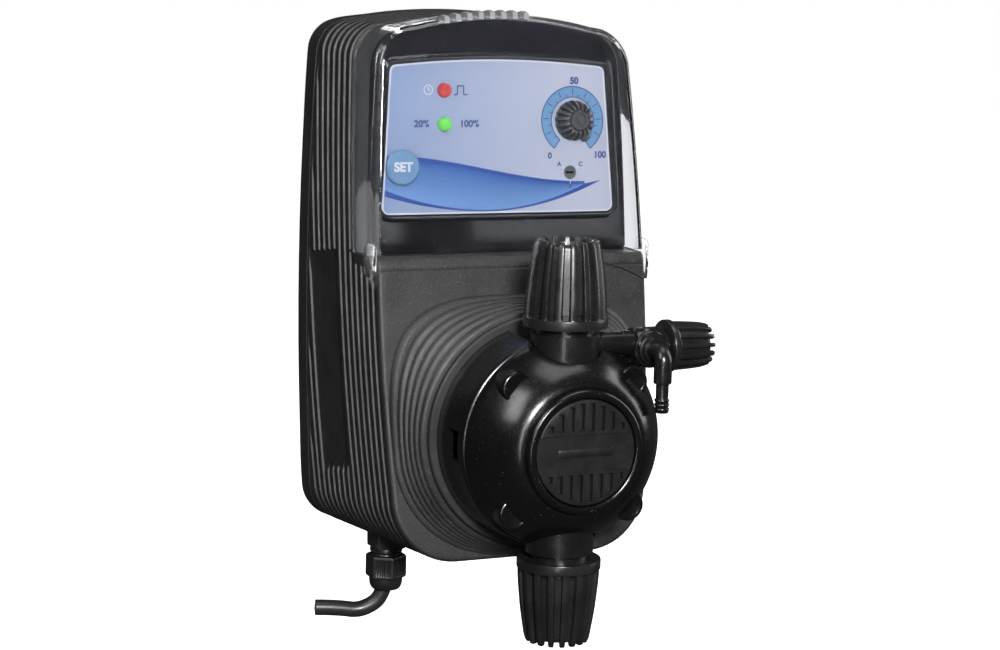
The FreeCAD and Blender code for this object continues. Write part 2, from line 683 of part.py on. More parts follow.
def control_board():
    plate = box("board_plate", S["board_w"], S["board_t"], S["board_h"],
                (-N["board_w"] / 2, N["board_y"], N["board_z"]))
    holes = [cylinder("board_hole_%d" % i, 1.7, 6.0, forward(x, N["board_y"] + 4, z))
             for i, (x, z) in enumerate(BOARD_SITES)]
    keep(cut("control_board", plate, holes), "control_board")
    screws = []
    for i, (x, z) in enumerate(BOARD_SITES):
        back = N["board_y"] + N["board_t"]
        head = cylinder("board_screw_head_%d" % i, 2.6, 1.8, forward(x, back + 1.8, z))
        shank = cylinder("board_screw_shank_%d" % i, 1.2, 7.5, forward(x, back + 0.1, z))
        screws.append(joined("board_screw_%d" % i, [head, shank]))
    keep(group("board_screws", screws), "board_screws")


def board_components():
    """Transformer, relay, capacitors and connector on the rear of the control board."""
    back = N["board_y"] + N["board_t"]
    pieces = [box("transformer", 26, 20, 22, (-30, back, 60)),
              box("relay", 12, 14, 19, (4, back, 62)),
              box("plug_socket", 22, 9, 7, (-14, back, 27)),
              cylinder("capacitor_a", 6.5, 22, Placement(Vector(28, back, 72), Rotation(X_AXIS, -90))),
              cylinder("capacitor_b", 4.5, 14, Placement(Vector(28, back, 54), Rotation(X_AXIS, -90))),
              box("controller", 12, 2, 12, (-6, back, 42))]
    keep(group("board_components", pieces), "board_components")


# ------------------------------------------------------------------ solenoid
HEAD_SITES = [(sx * N["pocket_d"], sz * N["pocket_d"]) for sx, sz in ((-1, -1), (1, -1), (1, 1), (-1, 1))]


def solenoid():
    rear, front, r, thick = S["yoke_rear"], S["yoke_front"], S["yoke_r"], S["yoke_t"]
    length = front - rear
    axis = forward(0, -N["yoke_rear"], N["head_z"])
    shell = [(0, 0), (r, 0), (r, length - 4.0), (r - thick, length - 4.0), (r - thick, thick), (0, thick)]
    keep(turned("solenoid_yoke", shell), "solenoid_yoke", axis)
    bobbin = [(12.5, 3.2), (29.0, 3.2), (29.0, 5.2), (14.5, 5.2), (14.5, 53.2), (29.0, 53.2),
              (29.0, 55.2), (12.5, 55.2)]
    keep(turned("coil_bobbin", bobbin), "coil_bobbin", axis)
    winding = [(14.6, 5.4), (28.0, 5.4), (28.0, 53.0), (14.6, 53.0)]
    keep(turned("coil_winding", winding), "coil_winding", axis)
    bush_r = S["rod_r"] + 2.0
    pole = [(bush_r, 44.0), (12.0, 44.0), (12.0, 56.1), (r, 56.1), (r, 60.0), (bush_r, 60.0)]
    keep(turned("pole_plate", pole), "pole_plate", axis)
    bush = [(S["rod_r"] + S["fit"], 44.2), (bush_r, 44.2), (bush_r, 60.0), (S["rod_r"] + S["fit"], 60.0)]
    keep(turned("guide_bush", bush), "guide_bush", axis)
    plunger = [(0, 6.3), (S["plunger_r"], 6.3), (S["plunger_r"], 42.3), (8.2, 42.3), (8.2, 30.0), (4.0, 30.0),
               (4.0, 22.0), (0, 22.0)]
    keep(turned("solenoid_plunger", plunger), "solenoid_plunger", axis)
    rod_end = S["boss_front"] + S["plate_t"] - rear
    rod_profile = [(0, 22.0), (S["rod_r"], 22.0), (S["rod_r"], rod_end), (0, rod_end)]
    keep(turned("push_rod", rod_profile), "push_rod", axis)
    bumper = [(0, 3.1), (10.0, 3.1), (10.0, 6.2), (0, 6.2)]
    keep(turned("stroke_bumper", bumper), "stroke_bumper", axis)
    spring()


def spring():
    """Return spring round the rod, between the pole and the plunger's counterbore."""
    low, high, turns, wire_r, coil_r = 30.7, 43.3, 5.0, 0.6, 6.2
    helix = Part.makeHelix((high - low) / turns, high - low, coil_r)
    section = Part.Wire([Part.makeCircle(wire_r, Vector(coil_r, 0, 0), Y_AXIS)])
    coil = Part.Wire(helix.Edges).makePipeShell([section], True, True)
    keep(shape_object("return_spring", coil), "return_spring", head_axis(N["yoke_rear"] + low))


# ------------------------------------------------------------------ pump head
def head_axis(depth):
    return forward(0, -depth, N["head_z"])


def head_back_plate():
    base = turned("back_plate_disc", [(S["rod_r"] + 4.0, 0), (S["plate_r"], 0), (S["plate_r"], S["plate_t"] - 0.5),
                                      (S["plate_r"] - 0.5, S["plate_t"]), (S["rod_r"] + 4.0, S["plate_t"])])
    base.Placement = head_axis(N["boss_front"])
    holes = [cylinder("plate_hole_%d" % i, S["stud_r"] + 0.2, 8.0,
                      forward(dx, -N["boss_front"] + 2, N["head_z"] + dz)) for i, (dx, dz) in enumerate(HEAD_SITES)]
    keep(cut("head_back_plate", base, holes), "head_back_plate")


def diaphragm():
    face = N["boss_front"] + N["plate_t"]
    t = S["diaphragm_t"]
    profile = [(8.1, 0), (S["diaphragm_r"], 0), (S["diaphragm_r"], t), (S["chamber_r"] + 1, t),
               (S["chamber_r"] - 1, t - 1.2), (16.0, t - 1.2), (14.0, t), (8.1, t)]
    keep(turned("diaphragm", profile), "diaphragm", head_axis(face))
    keep(turned("diaphragm_insert", [(0, 0), (8.0, 0), (8.0, t), (0, t)]), "diaphragm_insert", head_axis(face))


def pump_head_body():
    head_z, neck_y = N["head_z"], N["neck_y"]
    face = N["boss_front"] + N["plate_t"]
    main = rod(N["head_r"], Vector(0, -face, head_z), Vector(0, -N["head_front"], head_z))
    nose = rod(N["nose_r"], Vector(0, -face - 2, head_z), Vector(0, -N["nose_front"], head_z))
    shape = main.fuse(nose)
    for way in (1, -1):
        base = Vector(0, neck_y, head_z)
        shape = shape.fuse(rod(N["neck_r"], base, base + Z_AXIS * (way * N["neck_top"])))
        shape = shape.fuse(rod(N["thread_r"], base, base + Z_AXIS * (way * N["thread_top"])))
    arm_z = N["bleed_z"] + 2.0
    shape = shape.fuse(rod(N["arm_r"], Vector(0, neck_y, arm_z), Vector(28.4, neck_y, arm_z)))
    seat = N["diaphragm_t"]
    shape = shape.cut(rod(N["diaphragm_r"] + 0.2, Vector(0, -face + 1, head_z), Vector(0, -face - seat, head_z)))
    chamber = face + seat + N["chamber_d"]
    shape = shape.cut(rod(N["chamber_r"], Vector(0, -face, head_z), Vector(0, -chamber, head_z)))
    for way in (1, -1):
        base = Vector(0, neck_y, head_z)
        inner = base + Z_AXIS * (way * (N["thread_top"] - N["valve_len"] - 1.0))
        shape = shape.cut(rod(N["valve_r"] + 0.1, inner, base + Z_AXIS * (way * 60)))
        gallery = base + Z_AXIS * (way * 16)
        shape = shape.cut(rod(N["port_r"], gallery, inner + Z_AXIS * way))
        shape = shape.cut(rod(N["port_r"], Vector(0, -chamber + 1, gallery.z), gallery))
    shape = shape.cut(rod(1.6, Vector(9, neck_y, arm_z), Vector(30, neck_y, arm_z)))
    for dx, dz in HEAD_SITES:
        shape = shape.cut(rod(N["stud_r"] + 0.2, Vector(dx, -100, head_z + dz), Vector(dx, -150, head_z + dz)))
        shape = shape.cut(rod(4.6, Vector(dx, -N["head_front"], head_z + dz), Vector(dx, -150, head_z + dz)))
    keep(shape_object("pump_head_body", shape.removeSplitter()), "pump_head_body")


def dome_radius_points(shrink):
    """The head cover's outside from its rear edge to the badge ring, as (radius, depth)."""
    rise = N["ring_front"] - 2.5 - N["rim_y"]
    run = N["rim_r"] - N["ring_r"]
    points = [(N["skirt_r"] - shrink, N["skirt_rear"]), (N["rim_r"] - shrink, N["rim_y"] - shrink * 0.2)]
    for i in range(1, 7):
        angle = math.radians(15 * i)
        bulge = N["dome_bulge"]
        share = bulge * math.cos(angle) + (1 - bulge) * (1 - math.sin(angle))
        depth = N["rim_y"] + rise * math.sin(angle)
        points.append((N["ring_r"] + run * share - shrink * share, depth - shrink))
    return points


def dome_solid(shrink, front):
    """A closed solid of the head cover's form; local Z is the depth in front of the wall."""
    start = N["skirt_rear"] - (1.0 if shrink else 0.0)
    points = dome_radius_points(shrink)
    curve = Part.BSplineCurve()
    curve.interpolate([Vector(r, 0, d) for r, d in points[1:]])
    last = points[-1]
    rear = (points[0][0], start)
    edges = [Part.LineSegment(Vector(0, 0, start), Vector(rear[0], 0, start)).toShape(),
             Part.LineSegment(Vector(rear[0], 0, start), Vector(points[1][0], 0, points[1][1])).toShape(),
             curve.toShape(),
             Part.LineSegment(Vector(last[0], 0, last[1]), Vector(last[0], 0, front)).toShape(),
             Part.LineSegment(Vector(last[0], 0, front), Vector(0, 0, front)).toShape(),
             Part.LineSegment(Vector(0, 0, front), Vector(0, 0, start)).toShape()]
    solid = Part.Face(Part.Wire(edges)).revolve(Vector(0, 0, 0), Z_AXIS, 360)
    solid.Placement = Placement(Vector(0, 0, N["head_z"]), Rotation(X_AXIS, 90))
    return solid


def head_cover():
    head_z, neck_y, t = N["head_z"], N["neck_y"], N["shell_t"]
    outside = dome_solid(0.0, N["ring_front"])
    for dx, dz in HEAD_SITES:
        outside = outside.fuse(rod(N["pocket_r"], Vector(dx, -N["rim_y"] - 1, head_z + dz),
                                   Vector(dx, -N["pocket_front"], head_z + dz)))
    shape = outside.cut(dome_solid(t, N["ring_front"] - 6.0))
    shape = shape.cut(rod(N["badge_r"] + 0.15, Vector(0, -N["ring_front"] + N["badge_t"] + 0.6, head_z),
                          Vector(0, -N["ring_front"] - 5, head_z)))
    for dx, dz in HEAD_SITES:
        shape = shape.cut(rod(N["pocket_r"] - 1.8, Vector(dx, -N["rim_y"] + 3, head_z + dz),
                              Vector(dx, -N["pocket_front"] + 1.5, head_z + dz)))
    room = N["neck_r"] + 0.7
    for way in (1, -1):
        start = Vector(0, neck_y, head_z + way * 18)
        drum = rod(room, start, start + Z_AXIS * (way * 40))
        corner = Vector(-room, neck_y, head_z + (18 if way > 0 else -58))
        lane = Part.makeBox(2 * room, -neck_y - 100, 40, corner)
        shape = shape.cut(drum).cut(lane)
    arm_z, arm_room = N["bleed_z"] + 2.0, N["arm_r"] + 0.6
    shape = shape.cut(rod(arm_room, Vector(8, neck_y, arm_z), Vector(45, neck_y, arm_z)))
    shape = shape.cut(Part.makeBox(37, -neck_y - 100, 20, Vector(8, neck_y, arm_z - arm_room)))
    for side in (-1, 1):
        clip = Part.makeBox(12, 4.0, 10.0, Vector(36 if side > 0 else -48, -122.0, head_z - 5))
        shape = shape.cut(clip)
    keep(shape_object("head_cover", shape.removeSplitter()), "head_cover")


def head_badge():
    """A plain round insert: ribs above and below a smooth band."""
    disc = turned("badge_disc", [(0, 0), (S["badge_r"], 0), (S["badge_r"], S["badge_t"]), (0, S["badge_t"])])
    slots = []
    for i in range(-3, 4):
        x = i * 4.9
        reach = math.sqrt((N["badge_r"] - 1.6) ** 2 - x * x)
        for way in (1, -1):
            length = reach - 7.4
            low = 7.4 if way > 0 else -reach
            slots.append(box("badge_slot_%d_%d" % (i + 3, way + 1), 2.4, length, 2.0,
                             (x - 1.2, low, N["badge_t"] - 0.7)))
    keep(cut("head_badge", disc, slots), "head_badge", head_axis(N["ring_front"] - N["badge_t"] - 0.4))


def head_screws():
    screws = []
    for i, (dx, dz) in enumerate(HEAD_SITES):
        head = cylinder("head_screw_head_%d" % i, 4.2, 4.0, forward(dx, -N["head_front"], N["head_z"] + dz))
        shank = cylinder("head_screw_shank_%d" % i, S["stud_r"], S["head_front"] - 101.4,
                         forward(dx, -101.6, N["head_z"] + dz))
        screws.append(joined("head_screw_%d" % i, [head, shank]))
    keep(group("head_screws", screws), "head_screws")


# ------------------------------------------------------------------ valves, nozzles and tube nuts
def valve_cartridge(name, bottom_z):
    """A seat, a ball and its cage; the flow goes upward in both valves."""
    length = S["valve_len"]
    profile = [(S["port_r"], 0), (S["valve_r"], 0), (S["valve_r"], length), (S["port_r"], length),
               (S["port_r"], 16.4), (S["cage_r"], 16.4), (S["cage_r"], 11.0), (S["port_r"], 9.0)]
    keep(turned(name + "_valve_body", profile), name + "_valve_body", upright(0, N["neck_y"], bottom_z))
    ball = doc.addObject("Part::Sphere", name + "_ball")
    bind(ball, Radius=S["ball_r"])
    keep(ball, name + "_ball", upright(0, N["neck_y"], bottom_z + 11.36))


def stack_place(way):
    spot = (0, N["neck_y"], N["head_z"])
    return upright(*spot) if way > 0 else downward(*spot)


def tube_joint(name, way):
    """Hose nozzle, clamping ferrule and tube nut on one neck; heights from the head centre."""
    place = stack_place(way)
    top = S["thread_top"]
    nozzle = [(1.5, top), (S["nozzle_flange_r"], top), (S["nozzle_flange_r"], top + 2.3), (4.0, top + 2.3),
              (3.6, top + 5.0), (2.2, top + 13.0), (1.5, top + 13.0)]
    keep(turned(name + "_nozzle", nozzle), name + "_nozzle", place)
    ring = [(4.3, top + 6.5), (S["ferrule_r"] - 1.2, top + 6.5), (S["ferrule_r"], top + 9.0),
            (S["ferrule_r"], top + 14.8), (4.3, top + 14.8)]
    keep(turned(name + "_ferrule", ring), name + "_ferrule", place)
    base, end = S["nut_base"], S["nut_end"]
    bore = S["thread_r"] + S["fit"]
    nut = [(bore, base), (S["nut_flange_r"] - 0.5, base), (S["nut_flange_r"], base + 0.5),
           (S["nut_flange_r"], base + S["nut_flange_t"]), (S["nut_flange_r"] - 0.3, base + S["nut_flange_t"]),
           (S["nut_mid_r"], base + 16.0), (S["nut_end_r"], end - 1.0), (S["nut_end_r"] - 0.7, end),
           (9.8, end), (9.8, end - 1.8), (S["nut_hole_r"], end - 1.8), (S["nut_hole_r"], top + 15.0),
           (S["ferrule_r"] + 0.3, top + 15.0), (S["ferrule_r"] + 0.3, top + 3.2), (bore, top + 3.2)]
    body = turned(name + "_tube_nut", nut)
    inner = (S["nut_flange_r"] - 1.7, S["nut_end_r"] - 1.3)
    flute(body, 1.5, inner, S["nut_flange_r"] + 2.0, base + S["nut_flange_t"] + 0.2, end + 1.0,
          int(N["nut_ribs"]))
    keep(body, name + "_tube_nut", place)


# ------------------------------------------------------------------ bleed valve
def bleed_valve():
    x, z, y = N["bleed_x"], N["bleed_z"], N["neck_y"]
    end = N["bleed_end"]
    barrel = rod(N["bleed_r"] + 0.4, Vector(28.0, y, z), Vector(end, y, z))
    spout = rod(N["bleed_r"], Vector(x, y, z), Vector(x, -N["bleed_face"], z))
    shape = barrel.fuse(spout)
    shape = shape.cut(rod(N["rim_r"] + 1.0, Vector(0, -100, N["head_z"]), Vector(0, -160, N["head_z"])))
    shape = shape.cut(rod(N["arm_r"] + 0.02, Vector(20, y, z + 2), Vector(28.5, y, z + 2)))
    shape = shape.cut(rod(N["needle_r"] + N["fit"], Vector(30, y, z), Vector(end + 1, y, z)))
    shape = shape.cut(rod(4.35, Vector(37.5, y, z), Vector(end + 1, y, z)))
    shape = shape.cut(rod(1.6, Vector(x, y, z), Vector(x, -N["bleed_face"] - 1, z)))
    keep(shape_object("bleed_body", shape.removeSplitter()), "bleed_body")
    ring = doc.addObject("Part::Torus", "bleed_o_ring")
    bind(ring, Radius1=3.4, Radius2=0.85)
    keep(ring, "bleed_o_ring", sideways(39.0, y, z))
    needle = turned("bleed_needle", [(0, 0), (S["needle_r"], 2.0), (S["needle_r"], 24.0), (0, 24.0)])
    keep(needle, "bleed_needle", sideways(31.0, y, z))
    length, flange = S["knob_len"], S["knob_flange_t"]
    bore = S["needle_r"] + S["fit"]
    profile = [(bore, 0), (S["knob_flange_r"] - 0.5, 0), (S["knob_flange_r"], 0.5), (S["knob_flange_r"], flange),
               (S["knob_flange_r"] - 0.6, flange), (S["knob_end_r"] + 1.0, length - 4.0), (S["knob_end_r"], length),
               (6.4, length), (6.4, length - 1.6), (0, length - 1.6), (0, 13.0), (bore, 13.0)]
    knob = turned("bleed_knob", profile)
    flute(knob, 1.25, (S["knob_end_r"], S["knob_end_r"] - 1.2), S["knob_flange_r"] + 2.0, flange + 0.2,
          length + 1.0, 14)
    keep(knob, "bleed_knob", sideways(end + 0.5, y, z))
    bleed_elbow()


def bleed_elbow():
    x, z, y = N["bleed_x"], N["bleed_z"], N["elbow_y"]
    r = N["elbow_r"]
    corner = Vector(x, y, z)
    shape = rod(r, Vector(x, -N["bleed_face"], z), corner)
    shape = shape.fuse(Part.makeSphere(r, corner))
    shape = shape.fuse(rod(r, corner, Vector(x, y, -28.3)))
    shape = shape.fuse(rod(N["barb_r"], corner, Vector(x, y, -39.6)))
    for i in range(3):
        top = -34.6 - 1.7 * i
        barb = Part.makeCone(N["barb_r"] + 0.35, N["barb_r"], 1.3, Vector(x, y, top), Vector(0, 0, -1))
        shape = shape.fuse(barb)
    shape = shape.cut(rod(1.4, Vector(x, -N["bleed_face"] + 1, z), corner))
    shape = shape.cut(rod(1.4, corner, Vector(x, y, -41)))
    keep(shape_object("bleed_elbow", shape.removeSplitter()), "bleed_elbow")


# ------------------------------------------------------------------ cable gland, cable and wiring
def cable_gland():
    x, y = N["gland_x"], N["gland_y"]
    bore = S["cable_r"] + 0.4
    # local heights run downward from the top of the gland inside the housing
    place = downward(x, y, -98.0)
    r = S["gland_thread_r"]
    body = [(bore, 0), (r, 0), (r, 12.5), (r + 0.9, 12.5), (r + 0.9, 14.4), (r, 14.4), (r, 21.0), (bore, 21.0)]
    keep(turned("gland_body", body), "gland_body", place)
    lock = [(r + 0.05, 0.6), (7.6, 0.6), (7.6, 2.4), (r + 0.05, 2.4)]
    keep(turned("gland_locknut", lock), "gland_locknut", place)
    seal = [(S["cable_r"] + 0.05, 21.2), (r - 0.4, 21.2), (r - 0.6, 23.3), (S["cable_r"] + 0.05, 23.3)]
    keep(turned("gland_seal", seal), "gland_seal", place)
    gland_nut(place)
    socket = box("terminal_case", 22.0, 14.0, 10.0, (x - 11.0, y - 7.0, -86.0))
    keep(socket, "terminal_block")
    # the sheath's stretch inside the gland, and the cores from its end to the terminals
    leads = [cylinder("inner_sheath", S["cable_r"], 25.2, upright(x, y, -119.2))]
    for i, (dx, dy) in enumerate(((-1.4, -0.8), (1.4, -0.8), (0.0, 1.6))):
        leads.append(cylinder("lead_%d" % i, 0.95, 8.0, upright(x + dx, y + dy, -94.0)))
    keep(group("cable_leads", leads), "cable_leads")


def gland_nut(place):
    """Hexagon with fluted flats over a rounded nose."""
    flat = N["gland_flat"]
    corner = flat / math.cos(math.pi / 6)
    top = -98.0 - N["gland_nut_top"]
    low = -98.0 - N["gland_nut_z"]
    end = -98.0 - N["gland_dome_z"]
    ring = [Vector(corner * math.cos(math.pi / 3 * i), corner * math.sin(math.pi / 3 * i), top) for i in range(6)]
    prism = Part.Face(Part.makePolygon(ring + ring[:1])).extrude(Vector(0, 0, low - top))
    dome = Part.makeCylinder(flat - 0.6, end - low, Vector(0, 0, low))
    dome = dome.makeFillet(3.6, [e for e in dome.Edges if abs(e.BoundBox.ZMin - end) < 1e-6 and e.BoundBox.ZLength < 1e-6])
    shape = prism.fuse(dome)
    shape = shape.cut(Part.makeCylinder(N["gland_thread_r"] + 0.05, 23.4 - top, Vector(0, 0, top - 0.01)))
    mouth = Part.makeCone(N["cable_r"] + 0.7, N["cable_r"] + 2.5, end + 0.1 - 23.38, Vector(0, 0, 23.38))
    shape = shape.cut(mouth)
    keep(shape_object("gland_nut", shape.removeSplitter(), place), "gland_nut")


# The cable leaves the gland, turns towards the left and back, and ends in a cut face.
CABLE_ROUTE = [Vector(-38.0, -45.0, -119.2), Vector(-38.0, -45.0, -131.0), Vector(-47.6, -42.8, -137.7),
               Vector(-57.4, -40.6, -136.0), Vector(-66.4, -38.5, -135.7)]
BEND_SHARE = 0.45


def power_cable():
    """Straight runs joined by tangent arcs, each as large as its two runs allow."""
    edges = []
    last = CABLE_ROUTE[0]
    for before, corner, after in zip(CABLE_ROUTE, CABLE_ROUTE[1:], CABLE_ROUTE[2:]):
        first = (corner - before).normalize()
        second = (after - corner).normalize()
        half = first.getAngle(second) / 2
        cutback = BEND_SHARE * min((corner - before).Length, (after - corner).Length)
        radius = cutback / math.tan(half)
        enter, leave = corner - first * cutback, corner + second * cutback
        inward = (second - first).normalize()
        middle = corner + inward * (radius / math.cos(half) - radius)
        edges += [Part.LineSegment(last, enter).toShape(), Part.Arc(enter, middle, leave).toShape()]
        last = leave
        print("cable bend radius %.1f mm" % radius)
    edges.append(Part.LineSegment(last, CABLE_ROUTE[-1]).toShape())
    spine = Part.Wire(edges)
    section = Part.Wire([Part.makeCircle(N["cable_r"], CABLE_ROUTE[0], Z_AXIS)])
    tube = spine.makePipeShell([section], True, True)
    expected = math.pi * N["cable_r"] ** 2 * spine.Length
    if abs(tube.Volume - expected) > 0.02 * expected:
        raise RuntimeError("the cable's volume is wrong")
    print("cable length %.1f mm" % spine.Length)
    keep(shape_object("power_cable", tube), "power_cable")


# ------------------------------------------------------------------ build, check and export
def build():
    wall_bracket()
    rear_cover()
    rear_gasket()
    housing_screws()
    front_housing()
    clear_cover()
    cover_hinge_pins()
    panel_bezel()
    panel_label()
    lamps()
    set_button()
    flow_knob()
    range_selector()
    control_board()
    board_components()
    solenoid()
    head_back_plate()
    diaphragm()
    pump_head_body()
    head_cover()
    head_badge()
    head_screws()
    valve_cartridge("discharge", -23.0)
    valve_cartridge("suction", -108.0)
    tube_joint("discharge", 1)
    tube_joint("suction", -1)
    bleed_valve()
    cable_gland()
    power_cable()


def check():
    doc.recompute()
    for obj in doc.Objects:
        if "Invalid" in obj.State or "Error" in obj.State:
            raise RuntimeError("%s failed: %s" % (obj.Name, obj.State))
    for part in PARTS:
        if part.Shape.isNull() or not part.Shape.isValid():
            raise RuntimeError("%s has no valid shape" % part.Label)


def export():
    os.makedirs("parts", exist_ok=True)
    for part in PARTS:
        part.Shape.exportStep("parts/%s.step" % part.Label)
    print("%d sub-parts" % len(PARTS))


build()
check()
export()
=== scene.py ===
"""A wall-mounted diaphragm dosing pump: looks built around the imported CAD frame.

Pieces are built in millimetres in the CAD's own frame, which make_piece() turns into metres. The camera, the
lights and the cable's route are in metres.
"""

import json
from math import atan2, cos, degrees, pi, radians, sin, sqrt, tan

import bmesh
import bpy
from mathutils import Matrix, Vector


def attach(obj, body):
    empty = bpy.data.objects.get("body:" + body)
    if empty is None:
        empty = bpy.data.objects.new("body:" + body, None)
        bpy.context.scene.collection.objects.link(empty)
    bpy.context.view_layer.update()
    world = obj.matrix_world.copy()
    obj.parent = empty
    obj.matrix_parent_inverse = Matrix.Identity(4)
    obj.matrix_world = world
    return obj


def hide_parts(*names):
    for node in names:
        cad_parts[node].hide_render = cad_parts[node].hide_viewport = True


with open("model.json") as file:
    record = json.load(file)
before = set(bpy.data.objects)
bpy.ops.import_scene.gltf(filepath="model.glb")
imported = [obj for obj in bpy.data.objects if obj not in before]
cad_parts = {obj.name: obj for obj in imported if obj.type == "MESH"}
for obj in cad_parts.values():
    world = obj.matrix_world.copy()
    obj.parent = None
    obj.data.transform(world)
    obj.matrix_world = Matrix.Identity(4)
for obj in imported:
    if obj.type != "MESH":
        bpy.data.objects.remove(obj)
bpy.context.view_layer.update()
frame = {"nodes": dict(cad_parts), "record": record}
scene = bpy.context.scene

MM = 0.001
ROOT = "pump_body"
HEAD_Z, NECK_Y = -52.0, -131.0
BLEED_X, BLEED_Z = 34.2, -16.5
SHARP = 34.0
MERGE = 2e-6
QUARTER = (0, 18, 36, 54, 72, 90)


def new_object(name, data):
    made = bpy.data.objects.new(name, data)
    scene.collection.objects.link(made)
    return made


def polar(radius, angle, x=0.0, y=0.0):
    """The point at an angle on a circle round (x, y)."""
    return x + radius * cos(angle), y + radius * sin(angle)


# ---------------------------------------------------------------- camera, lights, floor
def add_camera():
    """The eye stands to the left of the pump's front, a little above it."""
    yaw, pitch, roll = radians(24.0), radians(8.5), radians(1.4)
    back = Vector((-sin(yaw) * cos(pitch), -cos(yaw) * cos(pitch), sin(pitch)))
    side = Vector((cos(yaw), -sin(yaw), 0.0))
    up = back.cross(side)
    right = side * cos(roll) + up * sin(roll)
    up = up * cos(roll) - side * sin(roll)
    data = bpy.data.cameras.new("camera")
    data.lens, data.sensor_width = 81.9, 36.0
    data.clip_start, data.clip_end = 0.01, 50.0
    camera = new_object("camera", data)
    turn = Matrix((right, up, back)).transposed().to_4x4()
    camera.matrix_world = Matrix.Translation((-0.3706, -0.9024, 0.1206)) @ turn
    scene.camera = camera


def add_softbox(name, place, size, power, gloss_only=False):
    """A rectangular lamp that faces the middle of the pump."""
    data = bpy.data.lights.new(name, "AREA")
    data.shape = "RECTANGLE"
    data.size, data.size_y = size
    data.energy = power
    lamp = new_object(name, data)
    lamp.location = place
    lamp.rotation_mode = "QUATERNION"
    lamp.rotation_quaternion = (Vector((0.0, -0.07, 0.0)) - Vector(place)).to_track_quat("-Z", "Y")
    lamp.visible_diffuse = not gloss_only
    return lamp


def add_studio():
    """Soft lamps, and a world that the camera sees as white and that lights the pump only dimly."""
    add_softbox("key_front", (-0.38, -1.5, 0.50), (0.26, 0.26), 30.0)
    add_softbox("softbox_left", (-1.05, -0.70, 0.85), (0.45, 0.80), 9.0, True)
    add_softbox("softbox_strip", (-0.62, -1.30, 0.05), (0.05, 0.70), 3.0, True)
    add_softbox("softbox_top", (0.15, -0.35, 1.25), (0.9, 0.6), 5.0)
    add_softbox("softbox_right", (1.15, -0.20, 0.40), (0.5, 0.9), 6.0)
    add_softbox("softbox_back", (0.55, 1.40, 0.70), (0.8, 0.8), 8.0).visible_glossy = False
    world = bpy.data.worlds.new("studio")
    world.use_nodes = True
    nodes, links = world.node_tree.nodes, world.node_tree.links
    seen = nodes["Background"]
    put(seen, Color=(1.0, 1.0, 1.0, 1.0), Strength=1.0)
    felt = nodes.new("ShaderNodeBackground")
    put(felt, Color=(0.93, 0.96, 1.0, 1.0), Strength=0.045)
    path = nodes.new("ShaderNodeLightPath")
    mix = nodes.new("ShaderNodeMixShader")
    links.new(path.outputs["Is Camera Ray"], mix.inputs[0])
    links.new(felt.outputs[0], mix.inputs[1])
    links.new(seen.outputs[0], mix.inputs[2])
    links.new(mix.outputs[0], nodes["World Output"].inputs["Surface"])
    scene.world = world
    scene.view_settings.view_transform = "Standard"


def add_floor():
    depth, reach = -0.30, 6.0
    mesh = bpy.data.meshes.new("floor")
    corners = [(x * reach, y * reach, depth) for x, y in ((-1, -1), (1, -1), (1, 1), (-1, 1))]
    mesh.from_pydata(corners, [], [(0, 1, 2, 3)])
    floor = new_object("floor", mesh)
    pale, _, shader = start_material("floor_pale")
    put(shader, Base_Color=(0.9, 0.9, 0.9, 1.0), Emission_Color=(1.0, 1.0, 1.0, 1.0), Emission_Strength=1.1)
    mesh.materials.append(pale)
    floor.visible_diffuse = floor.visible_glossy = False


# ---------------------------------------------------------------- materials
def start_material(name):
    mat = bpy.data.materials.new(name)
    mat.use_nodes = True
    tree = mat.node_tree
    return mat, tree, tree.nodes["Principled BSDF"]


def put(node, **values):
    """Set a node's inputs; a name's spaces are written as underscores."""
    for key, value in values.items():
        node.inputs[key.replace("_", " ")].default_value = value


def noise(tree, scale, detail=2.0, rough=0.5, stretch=None):
    """Noise in the object's own metres; scale is in cells per metre."""
    where = tree.nodes.new("ShaderNodeTexCoord")
    out = where.outputs["Object"]
    if stretch is not None:
        mapping = tree.nodes.new("ShaderNodeMapping")
        put(mapping, Scale=stretch)
        tree.links.new(out, mapping.inputs["Vector"])
        out = mapping.outputs[0]
    node = tree.nodes.new("ShaderNodeTexNoise")
    put(node, Scale=scale, Detail=detail, Roughness=rough)
    tree.links.new(out, node.inputs["Vector"])
    return node.outputs["Fac"]


def spread(tree, value, low, high, out_low, out_high):
    """Map a value from one range to another, clamped."""
    node = tree.nodes.new("ShaderNodeMapRange")
    put(node, From_Min=low, From_Max=high, To_Min=out_low, To_Max=out_high)
    tree.links.new(value, node.inputs["Value"])
    return node.outputs["Result"]


def blend_colours(tree, factor, first, second):
    node = tree.nodes.new("ShaderNodeMix")
    node.data_type = "RGBA"
    tree.links.new(factor, node.inputs["Factor"])
    for socket, colour in ((node.inputs["A"], first), (node.inputs["B"], second)):
        if hasattr(colour, "links"):
            tree.links.new(colour, socket)
        else:
            socket.default_value = (*colour, 1.0)
    return node.outputs["Result"]


def bump(tree, shader, height, depth_mm):
    node = tree.nodes.new("ShaderNodeBump")
    put(node, Strength=1.0, Distance=depth_mm * MM)
    tree.links.new(height, node.inputs["Height"])
    tree.links.new(node.outputs[0], shader.inputs["Normal"])


